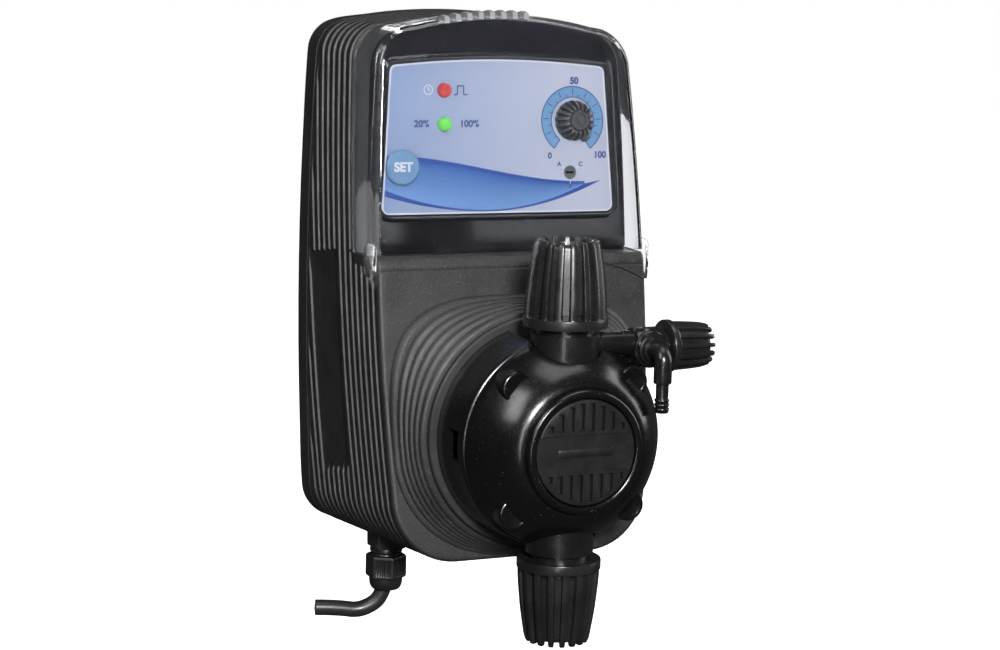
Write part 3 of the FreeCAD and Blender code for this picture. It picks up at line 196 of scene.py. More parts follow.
def moulded(name, dark, light, rough, grain_mm, grain_depth, rough_span=0.08, metallic=0.0, specks=None,
            stretch=None):
    """Moulded or coated surface: slow tone changes, a fine grain, uneven gloss and a few pale specks."""
    mat, tree, shader = start_material(name)
    tone = spread(tree, noise(tree, 55.0, 3.0), 0.35, 0.65, 0.0, 1.0)
    colour = blend_colours(tree, tone, dark, light)
    grain = noise(tree, 1000.0 / grain_mm, 2.0, 0.55, stretch)
    if specks is not None:
        dots = spread(tree, noise(tree, 1000.0 / (grain_mm * 1.7), 1.0), specks, specks + 0.06, 0.0, 0.55)
        colour = blend_colours(tree, dots, colour, tuple(min(1.0, c * 4 + 0.05) for c in light))
    tree.links.new(colour, shader.inputs["Base Color"])
    gloss = spread(tree, noise(tree, 140.0, 4.0, 0.6), 0.3, 0.7, rough - rough_span, rough + rough_span)
    tree.links.new(gloss, shader.inputs["Roughness"])
    put(shader, Metallic=metallic)
    bump(tree, shader, grain, grain_depth)
    return mat


def plain_surface(name, colour, rough):
    return moulded(name, tuple(c * 0.985 for c in colour), colour, rough, 3.0, 0.02, 0.03)


def polished(name, dark, light, rough):
    """Glossy moulding: faint flow waves, hairline scuffs in the gloss and a little dust."""
    mat, tree, shader = start_material(name)
    tone = spread(tree, noise(tree, 40.0, 2.0), 0.35, 0.65, 0.0, 1.0)
    colour = blend_colours(tree, tone, dark, light)
    dust = spread(tree, noise(tree, 1500.0, 0.0), 0.82, 0.86, 0.0, 0.25)
    colour = blend_colours(tree, dust, colour, (0.30, 0.29, 0.27))
    tree.links.new(colour, shader.inputs["Base Color"])
    scuffs = noise(tree, 500.0, 6.0, 0.7, (1.0, 6.0, 1.0))
    tree.links.new(spread(tree, scuffs, 0.3, 0.75, rough * 0.75, rough * 1.6), shader.inputs["Roughness"])
    bump(tree, shader, noise(tree, 1000.0 / 9.0, 2.0), 0.02)
    return mat


def clear_plastic(name):
    """Clear cover: real refraction, and lamps shine through it."""
    mat, tree, shader = start_material(name)
    put(shader, Base_Color=(0.97, 0.98, 1.0, 1.0), Transmission_Weight=1.0, IOR=1.12, Coat_Weight=1.0,
        Coat_Roughness=0.04)
    smears = noise(tree, 60.0, 5.0, 0.65)
    tree.links.new(spread(tree, smears, 0.45, 0.75, 0.0, 0.07), shader.inputs["Roughness"])
    bump(tree, shader, noise(tree, 90.0, 1.0), 0.02)
    through = tree.nodes.new("ShaderNodeBsdfTransparent")
    put(through, Color=(0.93, 0.94, 0.95, 1.0))
    path = tree.nodes.new("ShaderNodeLightPath")
    mix = tree.nodes.new("ShaderNodeMixShader")
    tree.links.new(path.outputs["Is Shadow Ray"], mix.inputs[0])
    tree.links.new(shader.outputs[0], mix.inputs[1])
    tree.links.new(through.outputs[0], mix.inputs[2])
    tree.links.new(mix.outputs[0], tree.nodes["Material Output"].inputs["Surface"])
    return mat


def lamp_lens(name, colour, glow):
    """A lit, tinted lens, its tint varying with a fine grain."""
    mat, tree, shader = start_material(name)
    grain = spread(tree, noise(tree, 900.0, 2.0), 0.3, 0.7, 0.0, 1.0)
    tint = blend_colours(tree, grain, tuple(c * 0.85 for c in colour), colour)
    tree.links.new(tint, shader.inputs["Base Color"])
    put(shader, Roughness=0.18, Subsurface_Weight=0.25, Subsurface_Radius=(0.002, 0.001, 0.001),
        Emission_Color=(*colour, 1.0), Emission_Strength=glow)
    bump(tree, shader, noise(tree, 1200.0, 1.0), 0.004)
    return mat


def label_paper():
    """Printed sheet: light blue at the left running to a pale lavender at the right."""
    mat, tree, shader = start_material("label_sheet")
    where = tree.nodes.new("ShaderNodeTexCoord")
    split = tree.nodes.new("ShaderNodeSeparateXYZ")
    tree.links.new(where.outputs["Object"], split.inputs[0])
    across = spread(tree, split.outputs["X"], -0.050, 0.030, 0.0, 1.0)
    colour = blend_colours(tree, across, (0.104, 0.140, 0.225), (0.215, 0.224, 0.275))
    tree.links.new(colour, shader.inputs["Base Color"])
    tree.links.new(spread(tree, noise(tree, 900.0, 3.0), 0.3, 0.7, 0.32, 0.42), shader.inputs["Roughness"])
    bump(tree, shader, noise(tree, 2500.0, 2.0), 0.004)
    return mat


# dark and light tone, roughness, grain size and depth in millimetres, then what is special
MOULDINGS = {
    "bracket_grey": ((0.05, 0.05, 0.052), (0.075, 0.075, 0.08), 0.5, 0.6, 0.03, {}),
    "housing_black": ((0.014, 0.014, 0.0145), (0.026, 0.0255, 0.026), 0.46, 0.3, 0.1, {"specks": 0.65}),
    "gasket_rubber": ((0.006, 0.006, 0.006), (0.012, 0.012, 0.012), 0.8, 0.4, 0.02, {}),
    "steel_zinc": ((0.45, 0.45, 0.46), (0.62, 0.62, 0.63), 0.32, 0.3, 0.006, {"metallic": 1.0}),
    "button_blue": ((0.048, 0.102, 0.18), (0.058, 0.118, 0.2), 0.4, 0.25, 0.006, {}),
    "knob_dark": ((0.018, 0.018, 0.02), (0.032, 0.031, 0.034), 0.42, 0.25, 0.02, {}),
    "selector_grey": ((0.035, 0.036, 0.04), (0.055, 0.056, 0.06), 0.38, 0.2, 0.01, {}),
    "component_black": ((0.02, 0.02, 0.022), (0.035, 0.035, 0.04), 0.5, 0.4, 0.01, {}),
    "board_green": ((0.01, 0.1, 0.045), (0.02, 0.15, 0.06), 0.3, 0.8, 0.01, {}),
    "lead_brown": ((0.1, 0.04, 0.015), (0.15, 0.065, 0.025), 0.45, 0.3, 0.01, {}),
    "steel_yoke": ((0.38, 0.38, 0.4), (0.5, 0.5, 0.52), 0.38, 0.3, 0.006, {"metallic": 1.0}),
    "bobbin_nylon": ((0.6, 0.57, 0.5), (0.68, 0.65, 0.58), 0.45, 0.4, 0.01, {}),
    "copper_coil": ((0.55, 0.22, 0.08), (0.7, 0.32, 0.13), 0.3, 0.35, 0.05,
                    {"metallic": 1.0, "stretch": (0.2, 3.0, 0.2)}),
    "stainless": ((0.55, 0.55, 0.56), (0.68, 0.68, 0.7), 0.25, 0.3, 0.004, {"metallic": 1.0}),
    "bumper_rubber": ((0.012, 0.012, 0.012), (0.02, 0.02, 0.02), 0.75, 0.4, 0.02, {}),
    "plate_black": ((0.02, 0.02, 0.021), (0.032, 0.031, 0.032), 0.52, 0.5, 0.04, {"specks": 0.74}),
    "head_plastic": ((0.006, 0.006, 0.0062), (0.01, 0.01, 0.0105), 0.27, 0.9, 0.008, {}),
    "badge_matte": ((0.008, 0.008, 0.0085), (0.014, 0.014, 0.0145), 0.4, 0.3, 0.01, {}),
    "ball_ceramic": ((0.8, 0.78, 0.73), (0.87, 0.86, 0.82), 0.12, 0.5, 0.002, {}),
    "nut_black": ((0.01, 0.0097, 0.0103), (0.018, 0.0175, 0.0185), 0.3, 0.6, 0.012, {"specks": 0.77}),
    "gland_black": ((0.01, 0.01, 0.01), (0.017, 0.017, 0.017), 0.33, 0.5, 0.012, {}),
    "cable_black": ((0.018, 0.0175, 0.0185), (0.03, 0.029, 0.03), 0.36, 0.8, 0.015, {}),
}


def make_materials():
    made = {slot: moulded(slot, *tones[:-1], **tones[-1]) for slot, tones in MOULDINGS.items()}
    made["clear_lid"] = clear_plastic("clear_lid")
    made["bezel_black"] = polished("bezel_black", (0.004, 0.004, 0.005), (0.008, 0.008, 0.01), 0.15)
    made["label_print"] = label_paper()
    made["lamp_red"] = lamp_lens("lamp_red", (0.27, 0.03, 0.03), 0.35)
    made["lamp_green"] = lamp_lens("lamp_green", (0.075, 0.32, 0.055), 0.35)
    made["cover_gloss"] = polished("cover_gloss", (0.003, 0.003, 0.003), (0.0055, 0.0052, 0.0052), 0.2)
    return made


def dress_frame(materials):
    """Every CAD node takes the finish of its own material slot."""
    for part in frame["record"]["subparts"]:
        node = frame["nodes"][part["node"]]
        if not node.material_slots:
            node.data.materials.append(None)
        for slot in node.material_slots:
            slot.material = materials[part["material_slot"]]


# ---------------------------------------------------------------- mesh helpers
def circle(place, radius, height, count):
    """Evenly spread points round local Z."""
    return [place @ Vector((*polar(radius, 2 * pi * k / count), height)) for k in range(count)]


class Skin:
    """Points and faces of one piece, in millimetres."""

    def __init__(self):
        self.points, self.faces = [], []

    def add(self, point):
        self.points.append(Vector(point))
        return len(self.points) - 1

    def row(self, points):
        return [self.add(p) for p in points]

    def strip(self, first, second, wrap=True):
        count = len(first)
        for i in range(count if wrap else count - 1):
            j = (i + 1) % count
            self.faces.append((first[i], first[j], second[j], second[i]))

    def grid(self, rows, wrap=True):
        made = [self.row(r) for r in rows]
        for first, second in zip(made, made[1:]):
            self.strip(first, second, wrap)
        return made

    def cap(self, row):
        self.faces.append(tuple(row))

    def ends(self, rows):
        """Close both open ends of a grid."""
        self.cap(rows[0])
        self.cap(rows[-1])

    def turned(self, profile, count=64, place=Matrix.Identity(4), closed=True):
        """Rings about local Z from (radius, height) corners; closed joins the last ring to the first."""
        made = self.grid([circle(place, radius, height, count) for radius, height in profile])
        if closed:
            self.strip(made[-1], made[0])
        return made

    def tube(self, line, radii, count=20):
        """A round tube along points, its frames carried from one to the next."""
        normal = None
        rows = []
        for i, point in enumerate(line):
            before, after = line[max(i - 1, 0)], line[min(i + 1, len(line) - 1)]
            along = (Vector(after) - Vector(before)).normalized()
            if normal is None:
                normal = along.orthogonal().normalized()
            normal = (normal - along * normal.dot(along)).normalized()
            other = along.cross(normal)
            rows.append([Vector(point) + (normal * cos(a) + other * sin(a)) * radii[i]
                         for a in (2 * pi * k / count for k in range(count))])
        made = self.grid(rows)
        self.cap(made[0][::-1])
        self.cap(made[-1])

    def block(self, low, high, place=Matrix.Identity(4)):
        corners = [place @ Vector((x, y, z)) for z in (low[2], high[2])
                   for x, y in ((low[0], low[1]), (high[0], low[1]), (high[0], high[1]), (low[0], high[1]))]
        ids = self.row(corners)
        for face in ((3, 2, 1, 0), (4, 5, 6, 7), (0, 1, 5, 4), (1, 2, 6, 5), (2, 3, 7, 6), (3, 0, 4, 7)):
            self.faces.append(tuple(ids[i] for i in face))


def shade(mesh, sharp=SHARP):
    """Smooth faces, with every edge above an angle in degrees kept sharp."""
    mesh.polygons.foreach_set("use_smooth", [True] * len(mesh.polygons))
    mesh.set_sharp_from_angle(angle=radians(sharp))


def make_piece(name, skin, material, body=ROOT, replaced=(), sharp=SHARP, orient=True):
    """One visible piece: cleaned mesh, smooth faces with sharp edges kept, riding on its body."""
    mesh = bpy.data.meshes.new(name)
    work = bmesh.new()
    for point in skin.points:
        work.verts.new(point * MM)
    work.verts.ensure_lookup_table()
    for face in skin.faces:
        corners = [work.verts[i] for i in dict.fromkeys(face)]
        if len(corners) > 2 and work.faces.get(corners) is None:
            work.faces.new(corners)
    bmesh.ops.remove_doubles(work, verts=work.verts, dist=MERGE)
    bmesh.ops.dissolve_degenerate(work, edges=work.edges, dist=1e-6)
    loose = [v for v in work.verts if not v.link_faces]
    bmesh.ops.delete(work, geom=loose, context="VERTS")
    if orient:
        bmesh.ops.recalc_face_normals(work, faces=work.faces)
    work.to_mesh(mesh)
    work.free()
    shade(mesh, sharp)
    piece = new_object(name, mesh)
    mesh.materials.append(material)
    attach(piece, body)
    if replaced:
        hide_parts(*replaced)
    return piece


def carve(piece, name, skin):
    """Cut a closed tool out of a piece; the tool itself isn't kept."""
    mesh = bpy.data.meshes.new(name)
    mesh.from_pydata([p * MM for p in skin.points], [], skin.faces)
    work = bmesh.new()
    work.from_mesh(mesh)
    bmesh.ops.remove_doubles(work, verts=work.verts, dist=MERGE)
    bmesh.ops.recalc_face_normals(work, faces=work.faces)
    work.to_mesh(mesh)
    work.free()
    mesh.materials.append(piece.data.materials[0])
    tool = new_object(name, mesh)
    step = piece.modifiers.new(name, "BOOLEAN")
    step.operation, step.solver, step.object = "DIFFERENCE", "EXACT", tool
    bpy.context.view_layer.update()
    shown = bpy.context.evaluated_depsgraph_get()
    result = bpy.data.meshes.new_from_object(piece.evaluated_get(shown))
    piece.modifiers.remove(step)
    old, piece.data = piece.data, result
    bpy.data.meshes.remove(old)
    bpy.data.objects.remove(tool)
    result.name = piece.name
    shade(result)


def rounded(profile, segments=3, closed=False):
    """Corners given as (a, b, radius) become arcs; corners given as (a, b) stay sharp."""
    out = []
    count = len(profile)
    for i, corner in enumerate(profile):
        here = Vector(corner[:2])
        if len(corner) < 3 or (not closed and i in (0, count - 1)):
            out.append(tuple(here))
            continue
        back = Vector(profile[i - 1][:2]) - here
        on = Vector(profile[(i + 1) % count][:2]) - here
        half = back.angle(on) / 2
        run = min(corner[2] / tan(half), back.length * 0.49, on.length * 0.49)
        radius = run * tan(half)
        back.normalize()
        on.normalize()
        centre = here + (back + on).normalized() * (radius / sin(half))
        start, end = here + back * run - centre, here + on * run - centre
        first = atan2(start.y, start.x)
        sweep = (atan2(end.y, end.x) - first + pi) % (2 * pi) - pi
        for k in range(segments + 1):
            a = first + sweep * k / segments
            out.append(polar(radius, a, centre.x, centre.y))
    return out


def rounded_box(half_a, half_b, radius, segments):
    """A rectangle about the origin with rounded corners."""
    corners = ((-half_a, -half_b), (half_a, -half_b), (half_a, half_b), (-half_a, half_b))
    return rounded([(a, b, radius) for a, b in corners], segments, closed=True)


def forward(x, y, z):
    """Local Z points out of the front."""
    return Matrix.Translation((x, y, z)) @ Matrix.Rotation(radians(90), 4, "X")


def downward(x, y, z):
    return Matrix.Translation((x, y, z)) @ Matrix.Rotation(radians(180), 4, "X")


def sideways(x, y, z):
    return Matrix.Translation((x, y, z)) @ Matrix.Rotation(radians(90), 4, "Y")


def smooth(low, high, value):
    t = min(max((value - low) / (high - low), 0.0), 1.0)
    return t * t * (3 - 2 * t)


# ---------------------------------------------------------------- housing form
REAR = {"widths": (60.5, 62.5, 60.0), "bottom": -107.0, "top": 110.0, "low_r": 17.0, "high_r": 14.0}
FRONT = {"widths": (53.7, 56.7, 51.7), "bottom": -104.5, "top": 108.5, "low_r": 27.0, "high_r": 19.0}
TOP_SAG = 4.5
FRONT_SECTION = 110.0
LID_Z, LID_DEPTH, LID_T, LID_BEND = 14.3, 25.0, 1.8, 2.4
LID_FRONT_Z, LID_FRONT_DEPTH = 15.5, 6.0
SHELF_Z = 14.0
PIVOT_Y, PIVOT_Z = -78.0, 10.0
REAR_Y = -11.2


FRONT_DEPTH, FRONT_LEAN = 84.5, 0.144


def front_y(z):
    """The housing's front plane, which leans back towards its top."""
    return -FRONT_DEPTH + FRONT_LEAN * z


def half_width(z, widths):
    """A parabola through the half widths at a low, a middle and a high level."""
    a, b, c = -85.0, 15.0, 88.0
    low, mid, high = widths
    return (low * (z - b) * (z - c) / ((a - b) * (a - c)) + mid * (z - a) * (z - c) / ((b - a) * (b - c))
            + high * (z - a) * (z - b) / ((c - a) * (c - b)))


SLOPE_Z = 9.0
BOTTOM_STEPS, CORNER_STEPS, LOW_STEPS, SLOPE_STEPS, HIGH_STEPS, TOP_STEPS = 12, 14, 60, 14, 50, 22


def half_section(form):
    """From bottom centre to top centre: (x, z) and the outward direction there."""
    z_corner = form["top"] - TOP_SAG - form["high_r"]
    x_corner = half_width(z_corner, form["widths"]) - form["high_r"]
    z_turn = form["bottom"] + form["low_r"]
    x_turn = half_width(z_turn, form["widths"]) - form["low_r"]
    rows = [((x_turn * i / BOTTOM_STEPS, form["bottom"]), (0.0, -1.0)) for i in range(BOTTOM_STEPS)]
    for i in range(CORNER_STEPS):
        a = radians(-90 + 90 * i / CORNER_STEPS)
        rows.append((polar(form["low_r"], a, x_turn, z_turn), polar(1.0, a)))
    for start, end, steps in ((z_turn, SLOPE_Z, LOW_STEPS), (SLOPE_Z, SHELF_Z, SLOPE_STEPS),
                              (SHELF_Z, z_corner, HIGH_STEPS)):
        for i in range(steps):
            z = start + (end - start) * i / steps
            rows.append(((half_width(z, form["widths"]), z), (1.0, 0.0)))
    for i in range(CORNER_STEPS):
        a = radians(79 * i / CORNER_STEPS)
        rows.append((polar(form["high_r"], a, x_corner, z_corner), polar(1.0, a)))
    for i in range(TOP_STEPS + 1):
        share = 1 - i / TOP_STEPS
        x = x_corner * share
        slope = Vector((2 * TOP_SAG * share / x_corner, 1.0)).normalized()
        rows.append(((x, form["top"] - TOP_SAG * share * share), tuple(slope)))
    return rows


def whole_section(form):
    half = half_section(form)
    mirrored = [((-x, z), (-nx, nz)) for (x, z), (nx, nz) in half[1:-1]]
    return half + mirrored[::-1]


REAR_RING, FRONT_RING = whole_section(REAR), whole_section(FRONT)
RING_COUNT = len(REAR_RING)
SLOPE_AT = BOTTOM_STEPS + CORNER_STEPS + LOW_STEPS
SHELF_AT = SLOPE_AT + SLOPE_STEPS
SLOPE_LEFT, SHELF_LEFT = RING_COUNT - SLOPE_AT, RING_COUNT - SHELF_AT


def is_high(i):
    """Whether a ring column lies above the shelf that carries the clear cover."""
    return SHELF_AT < i < SHELF_LEFT


def housing_point(i, depth, inset=0.0, y=None):
    """A point on the housing's form: ring column i, at a depth behind the leaning front or at a plain y."""
    (rx, rz), (rnx, rnz) = REAR_RING[i % RING_COUNT]
    (fx, fz), (fnx, fnz) = FRONT_RING[i % RING_COUNT]
    rx, rz, fx, fz = rx - rnx * inset, rz - rnz * inset, fx - fnx * inset, fz - fnz * inset
    if y is None:
        share = (FRONT_DEPTH - FRONT_LEAN * rz - depth) / (FRONT_SECTION + FRONT_LEAN * (fz - rz))
    else:
        share = -y / FRONT_SECTION
    return Vector((rx + (fx - rx) * share, -FRONT_SECTION * share, rz + (fz - rz) * share))


# ---------------------------------------------------------------- ribbed front housing
FIRST_WALL, RIB_PITCH, GROOVE_W, GROOVE_DEEP, GROOVES = 6.3, 5.4, 2.5, 0.95, 15
SLOT_TOP, SHORT_GROOVES = 10.7, 4
GRIP_FIRST, GRIP_LAST = 7, 12
SLOPE_R = 4.9
EDGE_R = 1.6
WALL = 2.6
GROOVE_SHAPE = ((-0.35, 0.0), (-0.08, 0.08), (0.06, 0.40), (0.12, 1.0))
UPSTAND_INSET = 2.4


def rib_rows():
    """Depths behind the front of the skin's rows, each with its groove number and share of full depth."""
    rows = [(EDGE_R * (1 - cos(radians(a))), None, 0.0) for a in QUARTER]
    for k in range(GROOVES):
        wall = FIRST_WALL + RIB_PITCH * k
        start = wall - GROOVE_W
        rows += [(start + out, k, share) for out, share in GROOVE_SHAPE]
        rows += [(wall - out, k, share) for out, share in GROOVE_SHAPE[::-1]]
    return rows


def grip_share(depth, z):
    """One inside the smooth finger grip on the flank, nought outside it."""
    first = FIRST_WALL + RIB_PITCH * GRIP_FIRST - GROOVE_W
    last = FIRST_WALL + RIB_PITCH * GRIP_LAST
    if not first < depth < last:
        return 0.0
    top, bottom = 19.6 - FRONT_LEAN * depth, -66.0 - 0.2 * depth
    return smooth(bottom - 0.5, bottom + 0.9, z) * smooth(top + 0.4, top - 0.5, z)


def skin_inset(depth, groove, share, z, rear_gap):
    """How far the flank is cut in; the first grooves end below the clear cover, all fade out at the rear."""
    deep = share
    if groove is not None and groove < SHORT_GROOVES:
        centre = FIRST_WALL + RIB_PITCH * groove - GROOVE_W / 2
        end = SLOT_TOP - 0.8 * ((depth - centre) / (GROOVE_W / 2)) ** 2
        deep *= smooth(end + 0.25, end - 0.45, z)
    deep = max(deep, grip_share(depth, z))
    return GROOVE_DEEP * deep * smooth(0.5, 2.6, rear_gap)


def front_start(z):
    """How far behind the front plane the side skin starts: rounded about the hinge under the cover."""
    if z <= SLOPE_Z:
        return 0.0
    rise = min(z, SHELF_Z) - PIVOT_Z
    return max(PIVOT_Y - sqrt(SLOPE_R ** 2 - rise ** 2) - front_y(min(z, SHELF_Z)), 0.0)


def ring_z(i):
    return REAR_RING[i % RING_COUNT][0][1]


def skin_rows():
    """Rows of outer points from the front edge to the parting line at the rear."""
    rows = []
    for depth, groove, share in rib_rows():
        row = []
        for i in range(RING_COUNT):
            z = ring_z(i)
            start = LID_DEPTH if is_high(i) else front_start(z)
            at = max(depth, start)
            edge = at - start
            radius = 0.4 if is_high(i) else EDGE_R
            inset = radius - sqrt(max(radius * radius - (radius - edge) ** 2, 0.0)) if edge < radius else 0.0
            point = housing_point(i, at)
            rear_gap = REAR_Y - point.y
            if rear_gap <= 0:
                row.append(housing_point(i, 0, 0.0, REAR_Y))
                continue
            if edge >= radius:
                inset = skin_inset(at, groove, share, point.z, rear_gap)
            row.append(housing_point(i, at, inset))
        rows.append(row)
    rows.append([housing_point(i, 0, 0.0, REAR_Y) for i in range(RING_COUNT)])
    return rows


BOSS_W, BOSS_UP, BOSS_DOWN, BOSS_R, BOSS_FRONT = 55.3, 51.0, 51.5, 47.7, 106.0


def boss_point(angle, share, inset):
    """On the boss: share 0 is its squarish foot on the leaning face, 1 its round front."""
    c, s = cos(angle), sin(angle)
    power = 3.4 if s > 0 else 2.4
    reach = BOSS_UP if s > 0 else BOSS_DOWN
    scale = (abs(c) ** power + abs(s) ** power) ** (-1.0 / power)
    x = (BOSS_W - inset) * c * scale * (1 - share) + (BOSS_R - inset) * c * share
    z = HEAD_Z + (reach - inset) * s * scale * (1 - share) + (BOSS_R - inset) * s * share
    lean = front_y(z)
    return Vector((x, lean + (-BOSS_FRONT - lean) * share, z))


def boss_profile():
    """The boss's stepped side as (share of the way to its front, inset): a lip, then five grooves."""
    rows = [(0.0, 0.0), (0.015, -0.28), (0.05, -0.42), (0.09, -0.34), (0.125, -0.05), (0.145, 0.4)]
    for k in range(5):
        middle = 0.185 + 0.165 * k
        rows += [(middle - 0.036, 0.25), (middle - 0.027, 2.1), (middle + 0.027, 2.1), (middle + 0.036, 0.25),
                 (middle + 0.050, 0.0), (middle + 0.083, -0.05), (middle + 0.115, 0.0)]
    rows = [r for r in rows if r[0] < 0.965]
    return rows + [(0.975, 0.15), (0.992, 0.45), (1.0, 0.95)]


def boundary_angle(point):
    reach = BOSS_UP if point.z > HEAD_Z else BOSS_DOWN
    return atan2((point.z - HEAD_Z) / reach, point.x / BOSS_W)


def front_face(loop, profile):
    """From a loop on a leaning plane in to the boss's foot, out along it, and a cap over its front."""
    angles = [boundary_angle(p) for p in loop]
    foot = []
    for point, angle in zip(loop, angles):
        spot = boss_point(angle, 0.0, profile[0][1])
        spot.y = front_y(spot.z)
        flat = Vector((spot.x, spot.z - HEAD_Z))
        limit = Vector((point.x, point.z - HEAD_Z)).length - 0.3
        if flat.length > limit:
            flat *= limit / flat.length
            spot = Vector((flat.x, 0, HEAD_Z + flat.y))
            spot.y = front_y(spot.z)
        foot.append(spot)
    rows = [loop]
    for t in (0.2, 0.45, 0.7, 0.9):
        rows.append([a.lerp(b, t) for a, b in zip(loop, foot)])
    rows.append(foot)
    for share, inset in profile[1:]:
        ring = []
        for angle, spot in zip(angles, foot):
            point = boss_point(angle, share, inset)
            pull = (1 - share) ** 2
            base = boss_point(angle, 0.0, profile[0][1])
            point += Vector((spot.x - base.x, 0, spot.z - base.z)) * pull
            ring.append(point)
        rows.append(ring)
    return rows


def label_depth(z):
    """Depth of the label's plane behind the housing's front plane."""
    return panel_y(z) - front_y(z)


def across(right, left):
    """Points across the housing between its right edge and its left edge."""
    return [right.lerp(left, k / 40) for k in range(1, 40)]


def make_front_housing(material):
    """The ribbed shell in one skin: flanks, leaning face with its boss, shelf, upstand and rear rim."""
    skin = Skin()
    rows = skin_rows()
    made = [skin.row(r) for r in rows]
    low = list(range(SHELF_LEFT, RING_COUNT)) + list(range(0, SHELF_AT + 1))
    high = list(range(SHELF_AT, SHELF_LEFT + 1))
    for first, second in zip(made, made[1:]):
        for i in range(RING_COUNT):
            j = (i + 1) % RING_COUNT
            if is_high(i) or is_high(j):
                continue
            skin.faces.append((first[i], first[j], second[j], second[i]))
    shelf_rows = [r for r, (depth, _, _) in enumerate(rib_rows()) if depth > LID_DEPTH]
    for r in shelf_rows:
        first, second = made[r], made[r + 1]
        for i in high[:-1]:
            skin.faces.append((first[i], first[i + 1], second[i + 1], second[i]))
    # front face and boss
    slope = range(SLOPE_LEFT, RING_COUNT + SLOPE_AT + 1)
    loop = [rows[0][i % RING_COUNT] for i in slope]
    loop += across(rows[0][SLOPE_AT], rows[0][SLOPE_LEFT])
    face_rows = front_face(loop, boss_profile())
    face_made = skin.grid(face_rows)
    skin.cap(face_made[-1])
    # the slope under the clear cover, then the shelf it stands on
    lines = []
    for k in range(SLOPE_STEPS + 1):
        right, left = rows[0][SLOPE_AT + k], rows[0][SLOPE_LEFT - k]
        lines.append([right, *across(right, left), left])
    for r in range(1, len(rows) - 1):
        depth = rib_rows()[r][0]
        if front_start(SHELF_Z) < depth <= LID_DEPTH + 6:
            right, left = rows[r][SHELF_AT], rows[r][SHELF_LEFT]
            lines.append([right, *across(right, left), left])
    skin.grid(lines, wrap=False)
    # step behind the cover's rear edge, then the upstand that the bezel closes
    step = [[housing_point(i, LID_DEPTH, 0.4) for i in high]]
    step.append([housing_point(i, LID_DEPTH, UPSTAND_INSET) for i in high])
    for back, inset in ((0.9, UPSTAND_INSET), (0.6, UPSTAND_INSET + 0.3), (0.6, UPSTAND_INSET + WALL - 0.3),
                        (0.9, UPSTAND_INSET + WALL)):
        step.append([housing_point(i, label_depth(ring_z(i)) + back, inset) for i in high])
    for depth, inset in ((LID_DEPTH + 3.0, UPSTAND_INSET + WALL), (LID_DEPTH + 3.0, WALL)):
        step.append([housing_point(i, depth, inset) for i in high])
    step.append([housing_point(i, 0, WALL, REAR_Y) for i in high])
    skin.grid(step, wrap=False)
    # rear rim and the lower room's walls
    rim = [housing_point(i, 0, WALL, REAR_Y) for i in range(RING_COUNT)]
    skin.grid([rows[-1], rim])
    inner = [[housing_point(i % RING_COUNT, 0, WALL, REAR_Y) for i in low],
             [housing_point(i % RING_COUNT, WALL, WALL) for i in low]]
    skin.grid(inner, wrap=False)
    return make_piece("housing_shell", skin, material, replaced=("front_housing",),
                      sharp=40.0)


# ---------------------------------------------------------------- clear cover
def cover_ring(depth, inset):
    """The upper ring columns at a depth; the two end ones stand just above the shelf."""
    edge = LID_FRONT_Z if depth < LID_FRONT_DEPTH else LID_Z
    lift = (edge - SHELF_Z) / ((REAR["top"] - TOP_SAG - REAR["high_r"] - SHELF_Z) / HIGH_STEPS)
    row = [housing_point(i, depth, inset) for i in range(SHELF_AT, SHELF_LEFT + 1)]
    row[0], row[-1] = row[0].lerp(row[1], lift), row[-1].lerp(row[-2], lift)
    return row


def flank_x(y, z):
    share = -y / FRONT_SECTION
    return half_width(z, REAR["widths"]) * (1 - share) + half_width(z, FRONT["widths"]) * share


def carve_face_marks(housing):
    """The fine upright witness line and the curved groove on the front face, below the cover."""
    marks = (([(-10.2, 11.6), (-10.2, 3.6)], 0.17, 0.3),
             ([(37.5 + 23.0 * k / 8, 9.8 - 8.8 * (k / 8) ** 1.7) for k in range(9)], 0.42, 1.1))
    for n, (line, half, deep) in enumerate(marks):
        sides = []
        for way in (1, -1):
            for k, (x, z) in list(enumerate(line))[::way]:
                ahead, behind = line[min(k + 1, len(line) - 1)], line[max(k - 1, 0)]
                along = (Vector(ahead) - Vector(behind)).normalized()
                sides.append((x - along.y * half * way, z + along.x * half * way))
        tool = Skin()
        tool.ends(tool.grid([[(x, front_y(z) + y, z) for x, z in sides] for y in (-5.0, deep)]))
        carve(housing, "face_mark_%d" % n, tool)


